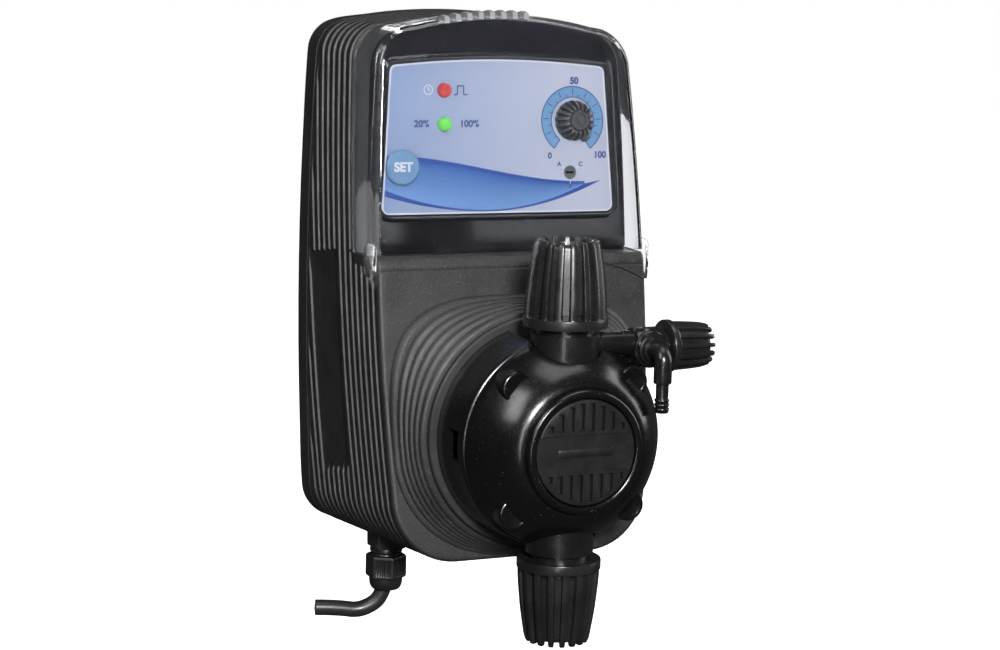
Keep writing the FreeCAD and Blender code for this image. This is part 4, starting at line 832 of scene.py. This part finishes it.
def make_clear_cover(material):
    """A thin-walled clear shell with its two hinge ears, and the finger ribs on its top edge."""
    skin = Skin()
    outer = [(LID_BEND * (1 - cos(radians(a))), LID_BEND * (1 - sin(radians(a)))) for a in QUARTER]
    rear = LID_DEPTH - 0.1
    outer += [(9.0, 0.0), (17.0, 0.0), (LID_DEPTH - 0.5, 0.0), (rear, 0.25), (rear, 0.7)]
    inner = [(LID_T + (LID_BEND - LID_T) * (1 - cos(radians(a))) * 0.6,
              LID_T + (LID_BEND - LID_T) * (1 - sin(radians(a)))) for a in QUARTER]
    inner += [(9.0, LID_T), (17.0, LID_T), (LID_DEPTH - 0.5, LID_T), (rear, 1.5), (rear, 1.1)]
    out_made = skin.grid([cover_ring(d, e) for d, e in outer], wrap=False)
    in_made = skin.grid([cover_ring(d, e) for d, e in inner], wrap=False)
    skin.strip(out_made[-1], in_made[-1], wrap=False)
    for end in (0, -1):
        skin.strip([r[end] for r in out_made], [r[end] for r in in_made], wrap=False)
    skin.cap(out_made[0])
    skin.cap(in_made[0][::-1])
    skin.faces.append((out_made[0][0], out_made[0][-1], in_made[0][-1], in_made[0][0]))
    # hinge ears, standing proud of the flanks, each with its pointed tip
    outline = rounded([(4.4, 9.5, 2.0), (5.4, 3.0, 3.0), (4.9, -2.2, 2.5), (-1.6, -4.4, 1.2),
                       (-3.6, -7.5, 0.3), (-4.7, -1.0, 1.5), (-4.4, 9.5, 1.5)], 4, closed=True)
    for side in (-1, 1):
        rows = []
        for out in (0.45, 0.55, 1.7, 1.95):
            shrink = 0.93 if out in (0.45, 1.95) else 1.0
            rows.append([(side * (flank_x(PIVOT_Y + y * shrink, PIVOT_Z + z * shrink) + out),
                          PIVOT_Y + y * shrink, PIVOT_Z + z * shrink) for y, z in outline])
        skin.ends(skin.grid(rows))
    make_piece("cover_shell", skin, material, body="clear_cover", replaced=("clear_cover",))
    # finger ribs along the top edge
    skin = Skin()
    for i in range(8):
        x = -26.5 + 4.9 * i
        top = FRONT["top"] - TOP_SAG * ((x + 1.1) / 36.0) ** 2
        start = front_y(top) + 0.2
        side_view = rounded([(start, top - 1.0), (start + 0.2, top + 1.6, 0.9), (start + 4.0, top + 2.3, 2.0),
                             (start + 9.3, top + 1.4, 0.8), (start + 9.6, top - 1.0)], 3)
        rows = []
        for along, lift in ((0.0, -0.35), (0.3, 0.0), (1.9, 0.0), (2.2, -0.35)):
            rows.append([(x + along, y, z + (lift if z > top - 0.5 else 0.0)) for y, z in side_view])
        skin.ends(skin.grid(rows))
    # the finger ribs' pale grey is painted reflection: it stands in for the white that clear plastic reflects
    painted_reflection = plain_surface("clear_ribs_painted_reflection", (0.30, 0.30, 0.31), 0.22)
    make_piece("cover_ribs", skin, painted_reflection, body="clear_cover")


# ---------------------------------------------------------------- bezel and label
LEAN = radians(4.0)
PANEL_Y0 = -68.7
PANEL_NORMAL = Vector((0, -cos(LEAN), sin(LEAN)))
PRINT_T = 0.04
LABEL_TOP_W, LABEL_LOW_W, LABEL_TOP, LABEL_LOW, LABEL_CROWN, LABEL_R = 46.8, 50.8, 88.4, 29.6, 2.6, 3.0


def panel_y(z):
    return PANEL_Y0 + tan(LEAN) * z


def panel_point(x, z, out=0.0):
    return Vector((x, panel_y(z), z)) + PANEL_NORMAL * out


def on_panel(x, z, out=0.0):
    return Matrix.Translation(panel_point(x, z, out)) @ Matrix.Rotation(pi / 2 - LEAN, 4, "X")


def label_outline(grow):
    """Corners of the label, an arch on top, as a closed polygon of (x, z)."""
    top_w, low_w = LABEL_TOP_W + grow, LABEL_LOW_W + grow
    high, low, r = LABEL_TOP + grow, LABEL_LOW - grow, LABEL_R + grow
    arch = [(top_w * (1 - k / 10), high + LABEL_CROWN * (1 - (1 - k / 10) ** 2)) for k in range(1, 20)]
    corners = [(-low_w, low, r), (low_w, low, r), (top_w, high, r)] + arch + [(-top_w, high, r)]
    return rounded(corners, 6, closed=True)


def by_angle(polygon, centre, count):
    """One point of a polygon for each of evenly spread directions from a centre inside it."""
    points = []
    for k in range(count):
        a = 2 * pi * (k + 0.5) / count
        way, reach = Vector((cos(a), sin(a))), 0.0
        for start, end in zip(polygon, polygon[1:] + polygon[:1]):
            edge, gap = Vector(end) - Vector(start), Vector(start) - Vector(centre)
            across = way.cross(edge)
            if abs(across) > 1e-9 and -1e-6 <= gap.cross(way) / across <= 1 + 1e-6:
                reach = max(reach, gap.cross(edge) / across)
        points.append((centre[0] + way.x * reach, centre[1] + way.y * reach))
    return points


def make_bezel(material):
    """The black surround: rounded outer edge, flat field, bead round the label."""
    skin = Skin()
    centre, count = (0.0, 60.0), 240
    rows = []
    for inset, out, low in ((2.9, -7.0, 14.3), (2.35, -7.0, 14.2), (2.35, 0.1, 14.2), (2.5, 0.55, 14.4),
                            (2.85, 0.88, 14.9), (3.4, 1.0, 15.6)):
        ring = [(p.x, p.z) for p in cover_ring(12.0, inset)]
        ring[0], ring[-1] = (ring[0][0], low), (ring[-1][0], low)
        rows.append([panel_point(x, z, out) for x, z in by_angle(ring, centre, count)])
    for grow, out in ((3.0, 1.0), (2.7, 1.15), (2.2, 1.9), (1.8, 2.2), (1.4, 2.2), (1.05, 1.95), (0.75, 1.0),
                      (0.4, 0.15), (0.0, 0.02), (-0.5, -0.4)):
        rows.append([panel_point(x, z, out) for x, z in by_angle(label_outline(grow), centre, count)])
    made = skin.grid(rows)
    skin.cap(made[-1])
    make_piece("bezel_frame", skin, material, replaced=("panel_bezel",))


def flat_print(skin, outline, out):
    """A printed shape: a very thin sheet on the label, from corners (x, z)."""
    low = skin.row([panel_point(x, z, out - PRINT_T) for x, z in outline])
    high = skin.row([panel_point(x, z, out) for x, z in outline])
    skin.strip(low, high)
    skin.cap(high)


def ribbon(skin, upper, lower, out):
    """A printed band between two curves with the same number of points."""
    top = skin.row([panel_point(x, z, out) for x, z in upper])
    bottom = skin.row([panel_point(x, z, out) for x, z in lower])
    skin.strip(top, bottom, wrap=False)


WAVE_STEPS = 48


def falling_wave(left, right, high, low):
    """A band edge easing down from the label's left side to its right side."""
    return [(left + (right - left) * t, low + (high - low) * (0.5 + 0.5 * cos(pi * t)))
            for t in (k / WAVE_STEPS for k in range(WAVE_STEPS + 1))]


def shallow_bowl(left, right, middle, low, rise_left, rise_right):
    """A bowl-shaped line, lowest at its middle, with its own rise on each side."""
    line = []
    for k in range(WAVE_STEPS + 1):
        x = left + (right - left) * k / WAVE_STEPS
        reach, rise = (middle - left, rise_left) if x < middle else (right - middle, rise_right)
        line.append((x, low + rise * (abs(x - middle) / reach) ** 2))
    return line


def ring_print(skin, x, z, inner, outer, out=0.04, start=0.0, sweep=360.0):
    steps = max(3, int(sweep / 4))
    angles = [radians(start + sweep * k / steps) for k in range(steps + 1)]
    ribbon(skin, [polar(outer, a, x, z) for a in angles], [polar(inner, a, x, z) for a in angles], out)


def bar(skin, x0, z0, x1, z1, width, out=0.05):
    along = Vector((x1 - x0, z1 - z0)).normalized() * (width / 2)
    side = Vector((-along.y, along.x))
    flat_print(skin, [(x0 - side.x, z0 - side.y), (x1 - side.x, z1 - side.y),
                      (x1 + side.x, z1 + side.y), (x0 + side.x, z0 + side.y)], out)


def print_text(name, text, size, place, material, body=ROOT):
    """Flat lettering from Blender's own font, turned into a mesh."""
    data = bpy.data.curves.new(name, "FONT")
    data.body = text
    data.size = size * MM
    data.align_x, data.align_y = "CENTER", "CENTER"
    data.extrude = 0.00002
    data.offset = size * MM * 0.042
    line = new_object(name, data)
    bpy.context.view_layer.update()
    mesh = bpy.data.meshes.new_from_object(line.evaluated_get(bpy.context.evaluated_depsgraph_get()))
    bpy.data.objects.remove(line)
    metres = place.copy()
    metres.translation = place.translation * MM
    mesh.transform(metres)
    mesh.materials.clear()
    mesh.materials.append(material)
    piece = new_object(name, mesh)
    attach(piece, body)


SET_X, SET_Z, DIAL_X, DIAL_Z = -42.3, 48.3, 32.6, 66.6
# degrees: the scale runs clockwise from its start to its end, where the knob points
DIAL_START, DIAL_SWEEP, DIAL_MARKS = 234.0, 289.0, 11
DIAL_END = DIAL_START - DIAL_SWEEP
CLOCK_X, CLOCK_Z = -30.6, 78.8
# piece, text, letter height, and the middle's place on the label
LETTERING = (("print_low_rate", "20%", 3.8, -33.6, 65.3), ("print_full_rate", "100%", 3.8, -13.0, 65.3),
             ("print_zero", "0", 3.4, 22.4, 52.4), ("print_fifty", "50", 3.8, 33.4, 82.6),
             ("print_hundred", "100", 3.7, 45.0, 52.6), ("print_a", "A", 2.5, 26.6, 49.0),
             ("print_c", "C", 2.5, 36.2, 48.9), ("print_b", "B", 2.5, 31.7, 39.6))


def print_waves(inks):
    """Two dark wave bands, with washes between them that pale towards the lower one."""
    top = falling_wave(-51.0, 38.0, 53.0, 42.0)
    under = [(x, z - 2.3 + 1.3 * k / WAVE_STEPS) for k, (x, z) in enumerate(top)]
    arc_top = shallow_bowl(-51.0, 38.0, -5.0, 31.0, 9.0, 10.0)
    arc_low = shallow_bowl(-51.0, 45.5, -5.0, 30.4, 7.0, 12.0)
    dark = Skin()
    ribbon(dark, top, under, 0.05)
    ribbon(dark, arc_top, arc_low, 0.05)
    make_piece("print_waves", dark, inks["blue"], orient=False)
    steps = 10
    for k in range(steps):
        share = (k / (steps - 1)) ** 0.8
        tone = tuple(a + (b - a) * share for a, b in ((0.010, 0.062), (0.045, 0.125), (0.155, 0.255)))
        upper, lower = [[(a[0] + (b[0] - a[0]) * n / steps, a[1] + (b[1] - a[1]) * n / steps)
                         for a, b in zip(under, arc_top)] for n in (k, k + 1)]
        wash = Skin()
        ribbon(wash, upper, lower, 0.03)
        make_piece("print_wash_%d" % k, wash, plain_surface("ink_wash_%d" % k, tone, 0.4),
                   orient=False)


def print_scale_and_icons(inks):
    """The dial's ring and scale, the lamp and selector icons and the label's rim, all of it generic."""
    fine = Skin()
    for inner, outer in ((13.55, 14.0), (9.3, 9.7)):
        ring_print(fine, DIAL_X, DIAL_Z, inner, outer, 0.05, DIAL_END, DIAL_SWEEP)

    def dial_mark(place, inner, outer, width):
        a = radians(DIAL_START - DIAL_SWEEP * place / (DIAL_MARKS - 1))
        bar(fine, *polar(inner, a, DIAL_X, DIAL_Z), *polar(outer, a, DIAL_X, DIAL_Z), width, 0.06)

    for k in range(DIAL_MARKS):
        end = k in (0, DIAL_MARKS - 1)
        dial_mark(k, 9.5 if end else 10.6, 13.9 if end else 13.0, 0.38)
        if k < DIAL_MARKS - 1:
            dial_mark(k + 0.5, 9.6, 10.9, 0.3)
    step = [(-19.6, 76.9), (-18.1, 76.9), (-18.1, 80.4), (-15.4, 80.4), (-15.4, 76.9), (-13.7, 76.9)]
    for (x0, z0), (x1, z1) in zip(step, step[1:]):
        bar(fine, x0, z0, x1, z1, 0.55)
    make_piece("print_fine", fine, inks["ink"], orient=False)
    cyan = Skin()
    ring_print(cyan, DIAL_X, DIAL_Z, 9.6, 13.7, 0.03, DIAL_END, DIAL_SWEEP)
    make_piece("print_dial", cyan, inks["cyan"], orient=False)
    pale = Skin()
    ring_print(pale, CLOCK_X, CLOCK_Z, 1.65, 2.0)
    bar(pale, CLOCK_X, CLOCK_Z, CLOCK_X, CLOCK_Z + 1.2, 0.35)
    bar(pale, CLOCK_X, CLOCK_Z, CLOCK_X + 0.6, CLOCK_Z - 0.4, 0.3)
    for ends in ((27.4, 48.3, 28.9, 47.2), (35.3, 48.2, 33.9, 47.2), (31.6, 41.0, 31.6, 42.4)):
        bar(pale, *ends, 0.3, 0.07)
    rim = label_outline(-0.05)
    edge = label_outline(-0.75)
    ribbon(pale, rim + rim[:1], edge + edge[:1], 0.06)
    make_piece("print_pale", pale, inks["pale"], orient=False)


def print_lettering(inks):
    """Numbers and letters on the label, and the word on the set button."""
    for name, text, size, x, z in LETTERING:
        print_text(name, text, size, on_panel(x, z, 0.07), inks["ink"])
    print_text("print_set", "SET", 5.0, on_panel(SET_X, SET_Z, 2.53), inks["pale"],
               "set_button")


# ---------------------------------------------------------------- fluted nuts and knobs
# one side of a rib: (share of the pitch, share of the rib's height)
RIB_RISE = ((0.13, 0.0), (0.236, 0.02), (0.252, 0.12), (0.268, 0.80), (0.292, 0.95), (0.335, 1.0))
RIB_LEVELS = ((0.0, 0.0), *RIB_RISE, (0.5, 1.0), *((1.0 - t, level) for t, level in RIB_RISE[::-1]))


def fluted(skin, rows, count, place, start):
    """A turned form whose surface goes from a floor profile to a crest profile and back at each rib.

    Rows are (crest radius, crest height, floor radius, floor height).
    """
    made = []
    for crest_r, crest_h, floor_r, floor_h in rows:
        ring = []
        for rib in range(count):
            for t, level in RIB_LEVELS:
                a = start + 2 * pi * (rib + t) / count
                r = floor_r + (crest_r - floor_r) * level
                h = floor_h + (crest_h - floor_h) * level
                ring.append(place @ Vector((*polar(r, a), h)))
        made.append(ring)
    ids = skin.grid(made)
    skin.strip(ids[-1], ids[0])


def same(*points):
    """Rows of fluted() without ribs, from (radius, height)."""
    return [(r, h, r, h) for r, h in points]


NUT_RIBS = 17


def make_tube_nut(name, way, material, body, replaced):
    """Collar, ribs that stand above the rim as teeth, and the recess inside them."""
    skin = Skin()
    place = Matrix.Translation((0, NECK_Y, HEAD_Z)) if way > 0 else downward(0, NECK_Y, HEAD_Z)
    rows = same((11.3, 45.0), (15.9, 45.0), (16.2, 45.1), (16.3, 45.4), (16.3, 48.4), (16.22, 48.75),
                (15.95, 48.9))
    rows += [(15.9, 49.0, 12.9, 48.9), (15.88, 49.4, 12.9, 50.6), (15.86, 50.0, 13.3, 50.75),
             (15.84, 50.4, 13.7, 50.95)]
    for h in (52.5, 55.0, 58.0, 61.0):
        bow = (h - 49.0) / 12.0
        rows.append((15.9 - 0.9 * bow ** 1.6, h, 13.7 - 0.75 * bow ** 1.5, h))
    for h in (64.0, 67.0, 70.0, 73.0):
        bow = (h - 61.0) / 16.0
        rows.append((15.0 - 2.35 * bow ** 1.25, h, 12.95 - 1.75 * bow ** 1.25, h))
    rows += [(12.95, 75.6, 11.3, 75.0), (12.55, 77.0, 11.2, 75.8), (12.1, 77.8, 11.1, 76.1),
             (11.8, 78.0, 11.0, 76.2), (10.4, 78.0, 10.2, 76.2), (10.0, 77.8, 9.95, 76.1),
             (9.85, 77.4, 9.85, 75.9)]
    rows += same((9.8, 75.0), (9.6, 74.6), (4.5, 74.6), (4.3, 74.4), (4.3, 72.0), (9.1, 72.0), (9.1, 60.2),
                 (11.3, 60.2))
    # one groove faces the viewer's side of the front
    facing = atan2(-0.9 * way, -0.42)
    fluted(skin, rows, NUT_RIBS, place, facing)
    make_piece(name, skin, material, body=body, replaced=(replaced,))


def make_bleed_knob(material):
    """A fluted hand knob with a flange, pointing sideways."""
    skin = Skin()
    place = sideways(42.5, NECK_Y, BLEED_Z)
    rows = same((2.5, 0.0), (9.8, 0.0), (10.15, 0.15), (10.3, 0.5), (10.3, 2.2), (10.15, 2.6), (9.8, 2.8))
    rows += [(9.75, 2.9, 7.9, 2.8), (9.7, 3.2, 7.9, 3.4), (9.66, 3.8, 8.25, 3.9), (9.55, 6.5, 8.2, 6.5),
             (9.4, 9.5, 8.05, 9.5), (9.2, 12.5, 7.85, 12.5), (8.95, 15.0, 7.6, 15.0), (8.55, 17.0, 7.3, 16.6),
             (8.2, 18.3, 7.1, 17.0), (7.9, 18.7, 6.9, 17.1), (7.6, 18.8, 6.8, 17.1), (6.8, 18.8, 6.6, 17.1),
             (6.5, 18.6, 6.45, 17.0)]
    rows += same((6.4, 16.6), (6.2, 16.3), (3.2, 16.3), (3.0, 16.8), (1.2, 16.9))
    fluted(skin, rows, 14, place, radians(96))
    make_piece("bleed_knob_grip", skin, material, body="bleed_knob", replaced=("bleed_knob",))


def make_dial_knob(material):
    """A conical fluted knob with a slotted hub and a pointer nub."""
    skin = Skin()
    place = on_panel(DIAL_X, DIAL_Z, 0.6)
    rows = same((3.1, 0.0), (8.0, 0.0)) + [(8.2, 0.2, 7.0, 0.2), (8.2, 1.0, 6.8, 1.0), (8.0, 2.4, 6.4, 2.3),
                                           (7.55, 3.8, 5.9, 3.6), (6.9, 5.1, 5.2, 4.7), (6.2, 6.1, 4.6, 5.4),
                                           (5.6, 6.5, 4.3, 5.6), (4.6, 6.5, 4.1, 5.6)]
    rows += same((4.05, 5.6), (4.0, 5.9), (3.9, 6.7), (3.7, 6.9), (2.9, 6.9), (2.7, 6.7), (2.6, 6.2),
                 (0.3, 6.2))
    fluted(skin, rows, 18, place, radians(5))
    nub = place @ Matrix.Rotation(radians(DIAL_END), 4, "Z")
    skin.block((-2.4, -0.55, 6.0), (2.4, 0.55, 6.55), nub)
    outline = rounded([(6.0, -2.2), (9.6, -1.5, 0.7), (9.9, 0.0, 0.5), (9.6, 1.5, 0.7), (6.0, 2.2)], 3)
    made = skin.grid([[nub @ Vector((x * k, y * k, h)) for x, y in outline]
                      for h, k in ((0.1, 1.0), (1.9, 0.99), (2.5, 0.93))])
    skin.ends(made)
    make_piece("dial_knob", skin, material, body="flow_knob", replaced=("flow_knob",))


# ---------------------------------------------------------------- pump head
RING_R, RIM_R, RIM_DEPTH = 24.0, 41.5, 131.0
POCKETS = ((-24.0, 24.0), (24.0, 24.0), (24.0, -24.0), (-24.0, -24.0))


def dome_profile():
    """The head cover's outside, from its rear edge to the middle of the badge's seat, as (radius, depth)."""
    rows = [(42.2, 109.4), (42.8, 109.5), (43.0, 109.9), (42.6, 115.0), (42.2, 120.0), (41.85, 125.0),
            (41.6, 129.6), (41.5, 130.5), (41.3, 130.95), (41.0, 131.15), (40.75, 131.2), (40.55, 131.35)]
    for k in range(1, 23):
        a = radians(90 * k / 22)
        share = 0.45 * cos(a) + 0.55 * (1 - sin(a))
        radius = RING_R + (RIM_R - RING_R) * share
        if radius < 40.5:
            rows.append((radius + (0.9 if k == 22 else 0.0), RIM_DEPTH + 19.5 * sin(a)))
    rows += [(24.5, 150.25), (24.2, 150.2), (24.05, 150.5), (24.0, 151.6), (23.7, 152.3), (23.1, 152.85),
             (22.4, 153.0), (21.7, 152.95), (21.05, 152.6), (20.75, 152.0), (20.6, 151.2),
             (20.6, 149.6), (0.0, 149.6)]
    return rows


def make_head_cover(material):
    """The glossy dome, cut out for both valve necks, the bleed valve's arm and the side clips."""
    skin = Skin()
    place = forward(0, 0, HEAD_Z)
    inside = [(0.0, 147.0), (22.0, 147.4), (32.0, 143.0), (37.5, 135.0), (39.2, 129.0), (40.6, 109.6)]
    skin.turned(dome_profile() + inside, 144, place)
    piece = make_piece("head_dome", skin, material, replaced=("head_cover",), sharp=38.0)
    room, neck_in = 13.9, 18.0
    for way, word in ((1, "top"), (-1, "low")):
        tool = Skin()
        plan = [polar(room, radians(a), 0.0, NECK_Y) for a in range(180, 361, 6)]
        plan += [(room, -100.0), (-room, -100.0)]
        tool.ends(tool.grid([[(x, y, HEAD_Z + way * h) for x, y in plan] for h in (neck_in, neck_in + 40.0)]))
        carve(piece, "neck_room_" + word, tool)
    tool = Skin()
    arm_z, arm_r = -14.5, 5.4
    plan = [(NECK_Y - arm_r * sin(radians(a)), arm_z + arm_r * cos(radians(a))) for a in range(0, 181, 10)]
    plan += [(-100.0, arm_z - arm_r), (-100.0, arm_z + arm_r)]
    tool.ends(tool.grid([[(x, y, z) for y, z in plan] for x in (8.0, 46.0)]))
    carve(piece, "arm_room", tool)
    for side in (-1, 1):
        tool = Skin()
        near, far = sorted((side * 36, side * 48))
        tool.block((near, -127.0, HEAD_Z - 5.6), (far, -118.5, HEAD_Z + 5.6))
        carve(piece, "clip_slot_%d" % (side + 1), tool)


def make_pocket_caps(material):
    """Flat-faced bosses over the four head screws."""
    skin = Skin()
    for dx, dz in POCKETS:
        place = forward(dx, -132.0, HEAD_Z + dz)
        made = skin.turned([(6.3, 0.0), (6.3, 8.6), (6.25, 9.6), (6.0, 10.2), (5.6, 10.45), (5.1, 10.5),
                            (4.6, 10.3), (4.4, 10.2), (0.3, 10.2)], 48, place, False)
        skin.ends(made)
    make_piece("pocket_caps", skin, material)


def make_badge(material):
    """Ribs above and below a plain recessed band with a raised bar."""
    skin = Skin()
    radius, face = 20.3, 152.55
    place = forward(0, 0, HEAD_Z)
    outline = rounded([(radius, 149.8), (radius, face - 0.35, 0.0), (radius - 0.15, face - 0.1),
                       (radius - 0.4, face)], 2)
    skin.ends(skin.turned([(0.3, 149.8)] + outline + [(0.3, face)], 96, place, False))
    piece = make_piece("badge_plate", skin, material, replaced=("head_badge",))
    tool = Skin()
    middle = 6.9
    tool.block((-25.0, -(face + 3), HEAD_Z - middle), (25.0, -(face - 0.65), HEAD_Z + middle))
    carve(piece, "badge_band", tool)
    tool = Skin()
    for i in range(-4, 4):
        x = (i + 0.5) * 4.2
        reach = sqrt(max((radius - 1.2) ** 2 - (abs(x) + 1.0) ** 2, 0.0))
        if reach < 9.5:
            continue
        for way in (1, -1):
            ends = sorted((way * 8.3, way * reach))
            tool.block((x - 1.0, -(face + 3), HEAD_Z + ends[0]), (x + 1.0, -(face - 2.3), HEAD_Z + ends[1]))
    carve(piece, "badge_slots", tool)
    bar_skin = Skin()
    plan = rounded_box(11.5, 1.6, 1.2, 5)
    made = bar_skin.grid([[(x * k, -d, HEAD_Z + z * k) for x, z in plan]
                          for d, k in ((face - 0.8, 1.0), (face - 0.35, 1.0), (face - 0.2, 0.96))])
    bar_skin.ends(made)
    make_piece("badge_bar", bar_skin, material)


# ---------------------------------------------------------------- bleed valve
def make_bleed_valve(material):
    """The barrel with its spout, then the elbow with its barbed stem; profiles are (radius, distance)."""
    skin = Skin()
    barrel = [(4.9, -0.2), (6.6, 0.0), (7.4, 0.3), (7.8, 1.0), (7.8, 5.2), (7.55, 5.5), (7.55, 6.1),
              (7.8, 6.4), (7.8, 12.4), (7.5, 13.1), (6.6, 13.4), (6.3, 13.4), (6.3, 14.0), (2.5, 14.0)]
    skin.ends(skin.turned(barrel, 56, sideways(28.0, NECK_Y, BLEED_Z), False))
    spout = [(7.4, 0.0), (7.4, 5.4), (7.2, 6.1), (6.75, 6.5), (6.3, 6.55), (6.15, 6.8), (6.1, 7.3),
             (5.85, 7.75), (5.3, 7.95), (4.95, 8.0), (4.8, 8.25), (4.75, 8.6), (4.5, 8.95), (3.9, 9.1),
             (3.0, 9.1)]
    skin.ends(skin.turned(spout, 56, forward(BLEED_X, NECK_Y, BLEED_Z), False))
    make_piece("bleed_valve_body", skin, material, replaced=("bleed_body",))
    elbow = Skin()
    bend, corner_y = 3.9, -146.8
    line = [(BLEED_X, -139.4, BLEED_Z), (BLEED_X, -141.2, BLEED_Z)]
    for k in range(0, 10):
        a = radians(10 * k)
        line.append((BLEED_X, corner_y + bend - bend * sin(a), BLEED_Z - bend + bend * cos(a)))
    line += [(BLEED_X, corner_y, z) for z in (-24.0, -27.6, -28.1, -28.3)]
    radii = [3.5] * (len(line) - 3) + [3.5, 3.4, 3.1]
    elbow.tube(line, radii, 32)
    stem = [(2.5, 27.5), (2.45, 33.9)]
    for start in (34.1, 35.8, 37.5):
        stem += [(2.5, start), (2.85, start + 0.2), (2.95, start + 0.5), (2.5, start + 1.6)]
    stem[-1:] = [(2.6, 39.2), (2.4, 39.55), (1.6, 39.6), (1.4, 39.3), (1.4, 36.0)]
    elbow.ends(elbow.turned(stem, 32, downward(BLEED_X, corner_y, 0.0), False))
    make_piece("bleed_elbow_tube", elbow, material, replaced=("bleed_elbow",))


# ---------------------------------------------------------------- cable gland
GLAND_X, GLAND_Y = -38.0, -45.0


def make_gland_foot(material):
    """The square pad under the housing that the gland screws into."""
    foot = Skin()
    plan = rounded_box(6.5, 6.5, 1.2, 4)
    made = foot.grid([[(GLAND_X + x * k, GLAND_Y + y * k, z) for x, y in plan]
                      for z, k in ((-103.0, 1.0), (-110.0, 0.985), (-110.4, 0.965), (-110.5, 0.93))])
    foot.ends(made)
    make_piece("gland_foot", foot, material)


def make_gland_screw(material):
    """The threaded body, its round flange just under the housing's foot."""
    screw = Skin()
    profile = [(3.7, 98.0), (5.2, 98.0)]
    h = 98.6
    while h < 110.2:
        profile += [(5.2, h), (5.8, h + 0.55), (5.8, h + 0.75), (5.2, h + 1.3)]
        h += 1.5
    profile += [(5.8, 110.5), (6.6, 110.55), (6.75, 110.9), (6.75, 112.0), (6.5, 112.35), (5.8, 112.4),
                (5.5, 112.8), (5.8, 113.3), (5.8, 119.0), (3.7, 119.0)]
    screw.turned(profile, 48, downward(GLAND_X, GLAND_Y, 0.0))
    make_piece("gland_screw", screw, material, replaced=("gland_body",))


def make_gland_cap(material):
    """The hexagon nut with fluted flats and a round nose."""
    nut = Skin()
    place = downward(GLAND_X, GLAND_Y, 0.0)
    flat, count = 7.5, 216

    def hex_ring(height, apothem, round_r, flute=False):
        ring = []
        for k in range(count):
            a = 2 * pi * k / count
            local = (degrees(a) + 30) % 60 - 30
            r = min(apothem / cos(radians(local)), round_r)
            if flute:
                r -= 0.28 * (0.5 - 0.5 * cos(2 * pi * k / 4.5)) * smooth(28, 20, abs(local))
            ring.append(place @ Vector((*polar(r, a), height)))
        return ring

    rows = [hex_ring(*row) for row in (
        (113.4, 5.9, 5.9), (113.4, flat - 0.8, 7.4), (113.7, flat - 0.2, 8.1), (114.3, flat, 8.5),
        (114.8, flat, 8.5), (115.0, flat, 8.5, True), (121.6, flat, 8.5, True), (121.9, flat, 8.5),
        (122.5, flat, 8.4), (123.0, flat - 0.4, 7.9), (123.05, 6.9, 6.95), (124.2, 6.9, 6.9))]
    for a in (15, 30, 45, 60, 75, 90):
        c, s = cos(radians(a)), sin(radians(a))
        rows.append(circle(place, 4.9 + 2.0 * c, 124.2 + 4.0 * s, count))
    for radius, height in ((4.6, 128.0), (4.1, 126.5), (3.9, 122.0), (5.9, 121.5)):
        rows.append(circle(place, radius, height, count))
    made = nut.grid(rows)
    nut.strip(made[-1], made[0])
    make_piece("gland_cap", nut, material, replaced=("gland_nut",))


# ---------------------------------------------------------------- cable
def make_cable(material, core_materials):
    """The mains cable, from inside the gland's mouth to its cut end, on a route given point by point."""
    route = [(-0.0380, -0.0450, -0.1192), (-0.0380, -0.0450, -0.1310), (-0.0476, -0.0428, -0.1377),
             (-0.0574, -0.0406, -0.1360), (-0.0664, -0.0385, -0.1357)]
    curve = bpy.data.curves.new("cable_line", "CURVE")
    curve.dimensions = "3D"
    spline = curve.splines.new("NURBS")
    spline.points.add(len(route) - 1)
    for point, place in zip(spline.points, route):
        point.co = (*place, 1.0)
    spline.order_u = 3
    spline.use_endpoint_u = True
    spline.resolution_u = 24
    curve.bevel_depth = 0.0033
    curve.bevel_resolution = 8
    curve.use_fill_caps = True
    curve.materials.append(material)
    cable = new_object("mains_cable", curve)
    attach(cable, ROOT)
    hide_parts("power_cable")
    # three cores show in the cut face
    end, before = Vector(route[-1]) / MM, Vector(route[-2]) / MM
    along = (end - before).normalized()
    turn = Matrix.Translation(end) @ along.to_track_quat("Z", "Y").to_matrix().to_4x4()
    skin = Skin()
    for k in range(3):
        a = radians(90 + 120 * k)
        place = turn @ Matrix.Translation((*polar(1.45, a), 0))
        core = [(0.95, -1.0), (0.95, 0.12), (0.85, 0.2), (0.5, 0.2), (0.42, 0.12)]
        skin.ends(skin.turned(core, 20, place, False))
    cores = make_piece("cable_cores", skin, core_materials)


# ---------------------------------------------------------------- build
add_camera()
finishes = make_materials()
make_cable(finishes["cable_black"], finishes["lead_brown"])
add_studio()
add_floor()
dress_frame(finishes)
carve_face_marks(make_front_housing(finishes["housing_black"]))
make_clear_cover(finishes["clear_lid"])
make_bezel(finishes["bezel_black"])
inks = {"blue": plain_surface("ink_blue", (0.003, 0.024, 0.130), 0.4),
        "ink": plain_surface("ink_navy", (0.010, 0.028, 0.095), 0.4),
        "cyan": plain_surface("ink_cyan", (0.062, 0.135, 0.235), 0.4),
        "pale": plain_surface("ink_pale", (0.30, 0.31, 0.34), 0.4)}
print_waves(inks)
print_scale_and_icons(inks)
print_lettering(inks)
make_tube_nut("discharge_nut_grip", 1, finishes["nut_black"], "discharge_tube_nut", "discharge_tube_nut")
make_tube_nut("suction_nut_grip", -1, finishes["nut_black"], "suction_tube_nut", "suction_tube_nut")
make_bleed_knob(finishes["nut_black"])
make_dial_knob(finishes["knob_dark"])
make_head_cover(finishes["cover_gloss"])
make_pocket_caps(finishes["cover_gloss"])
make_badge(finishes["badge_matte"])
make_bleed_valve(finishes["head_plastic"])
make_gland_foot(finishes["housing_black"])
make_gland_screw(finishes["gland_black"])
make_gland_cap(finishes["gland_black"])
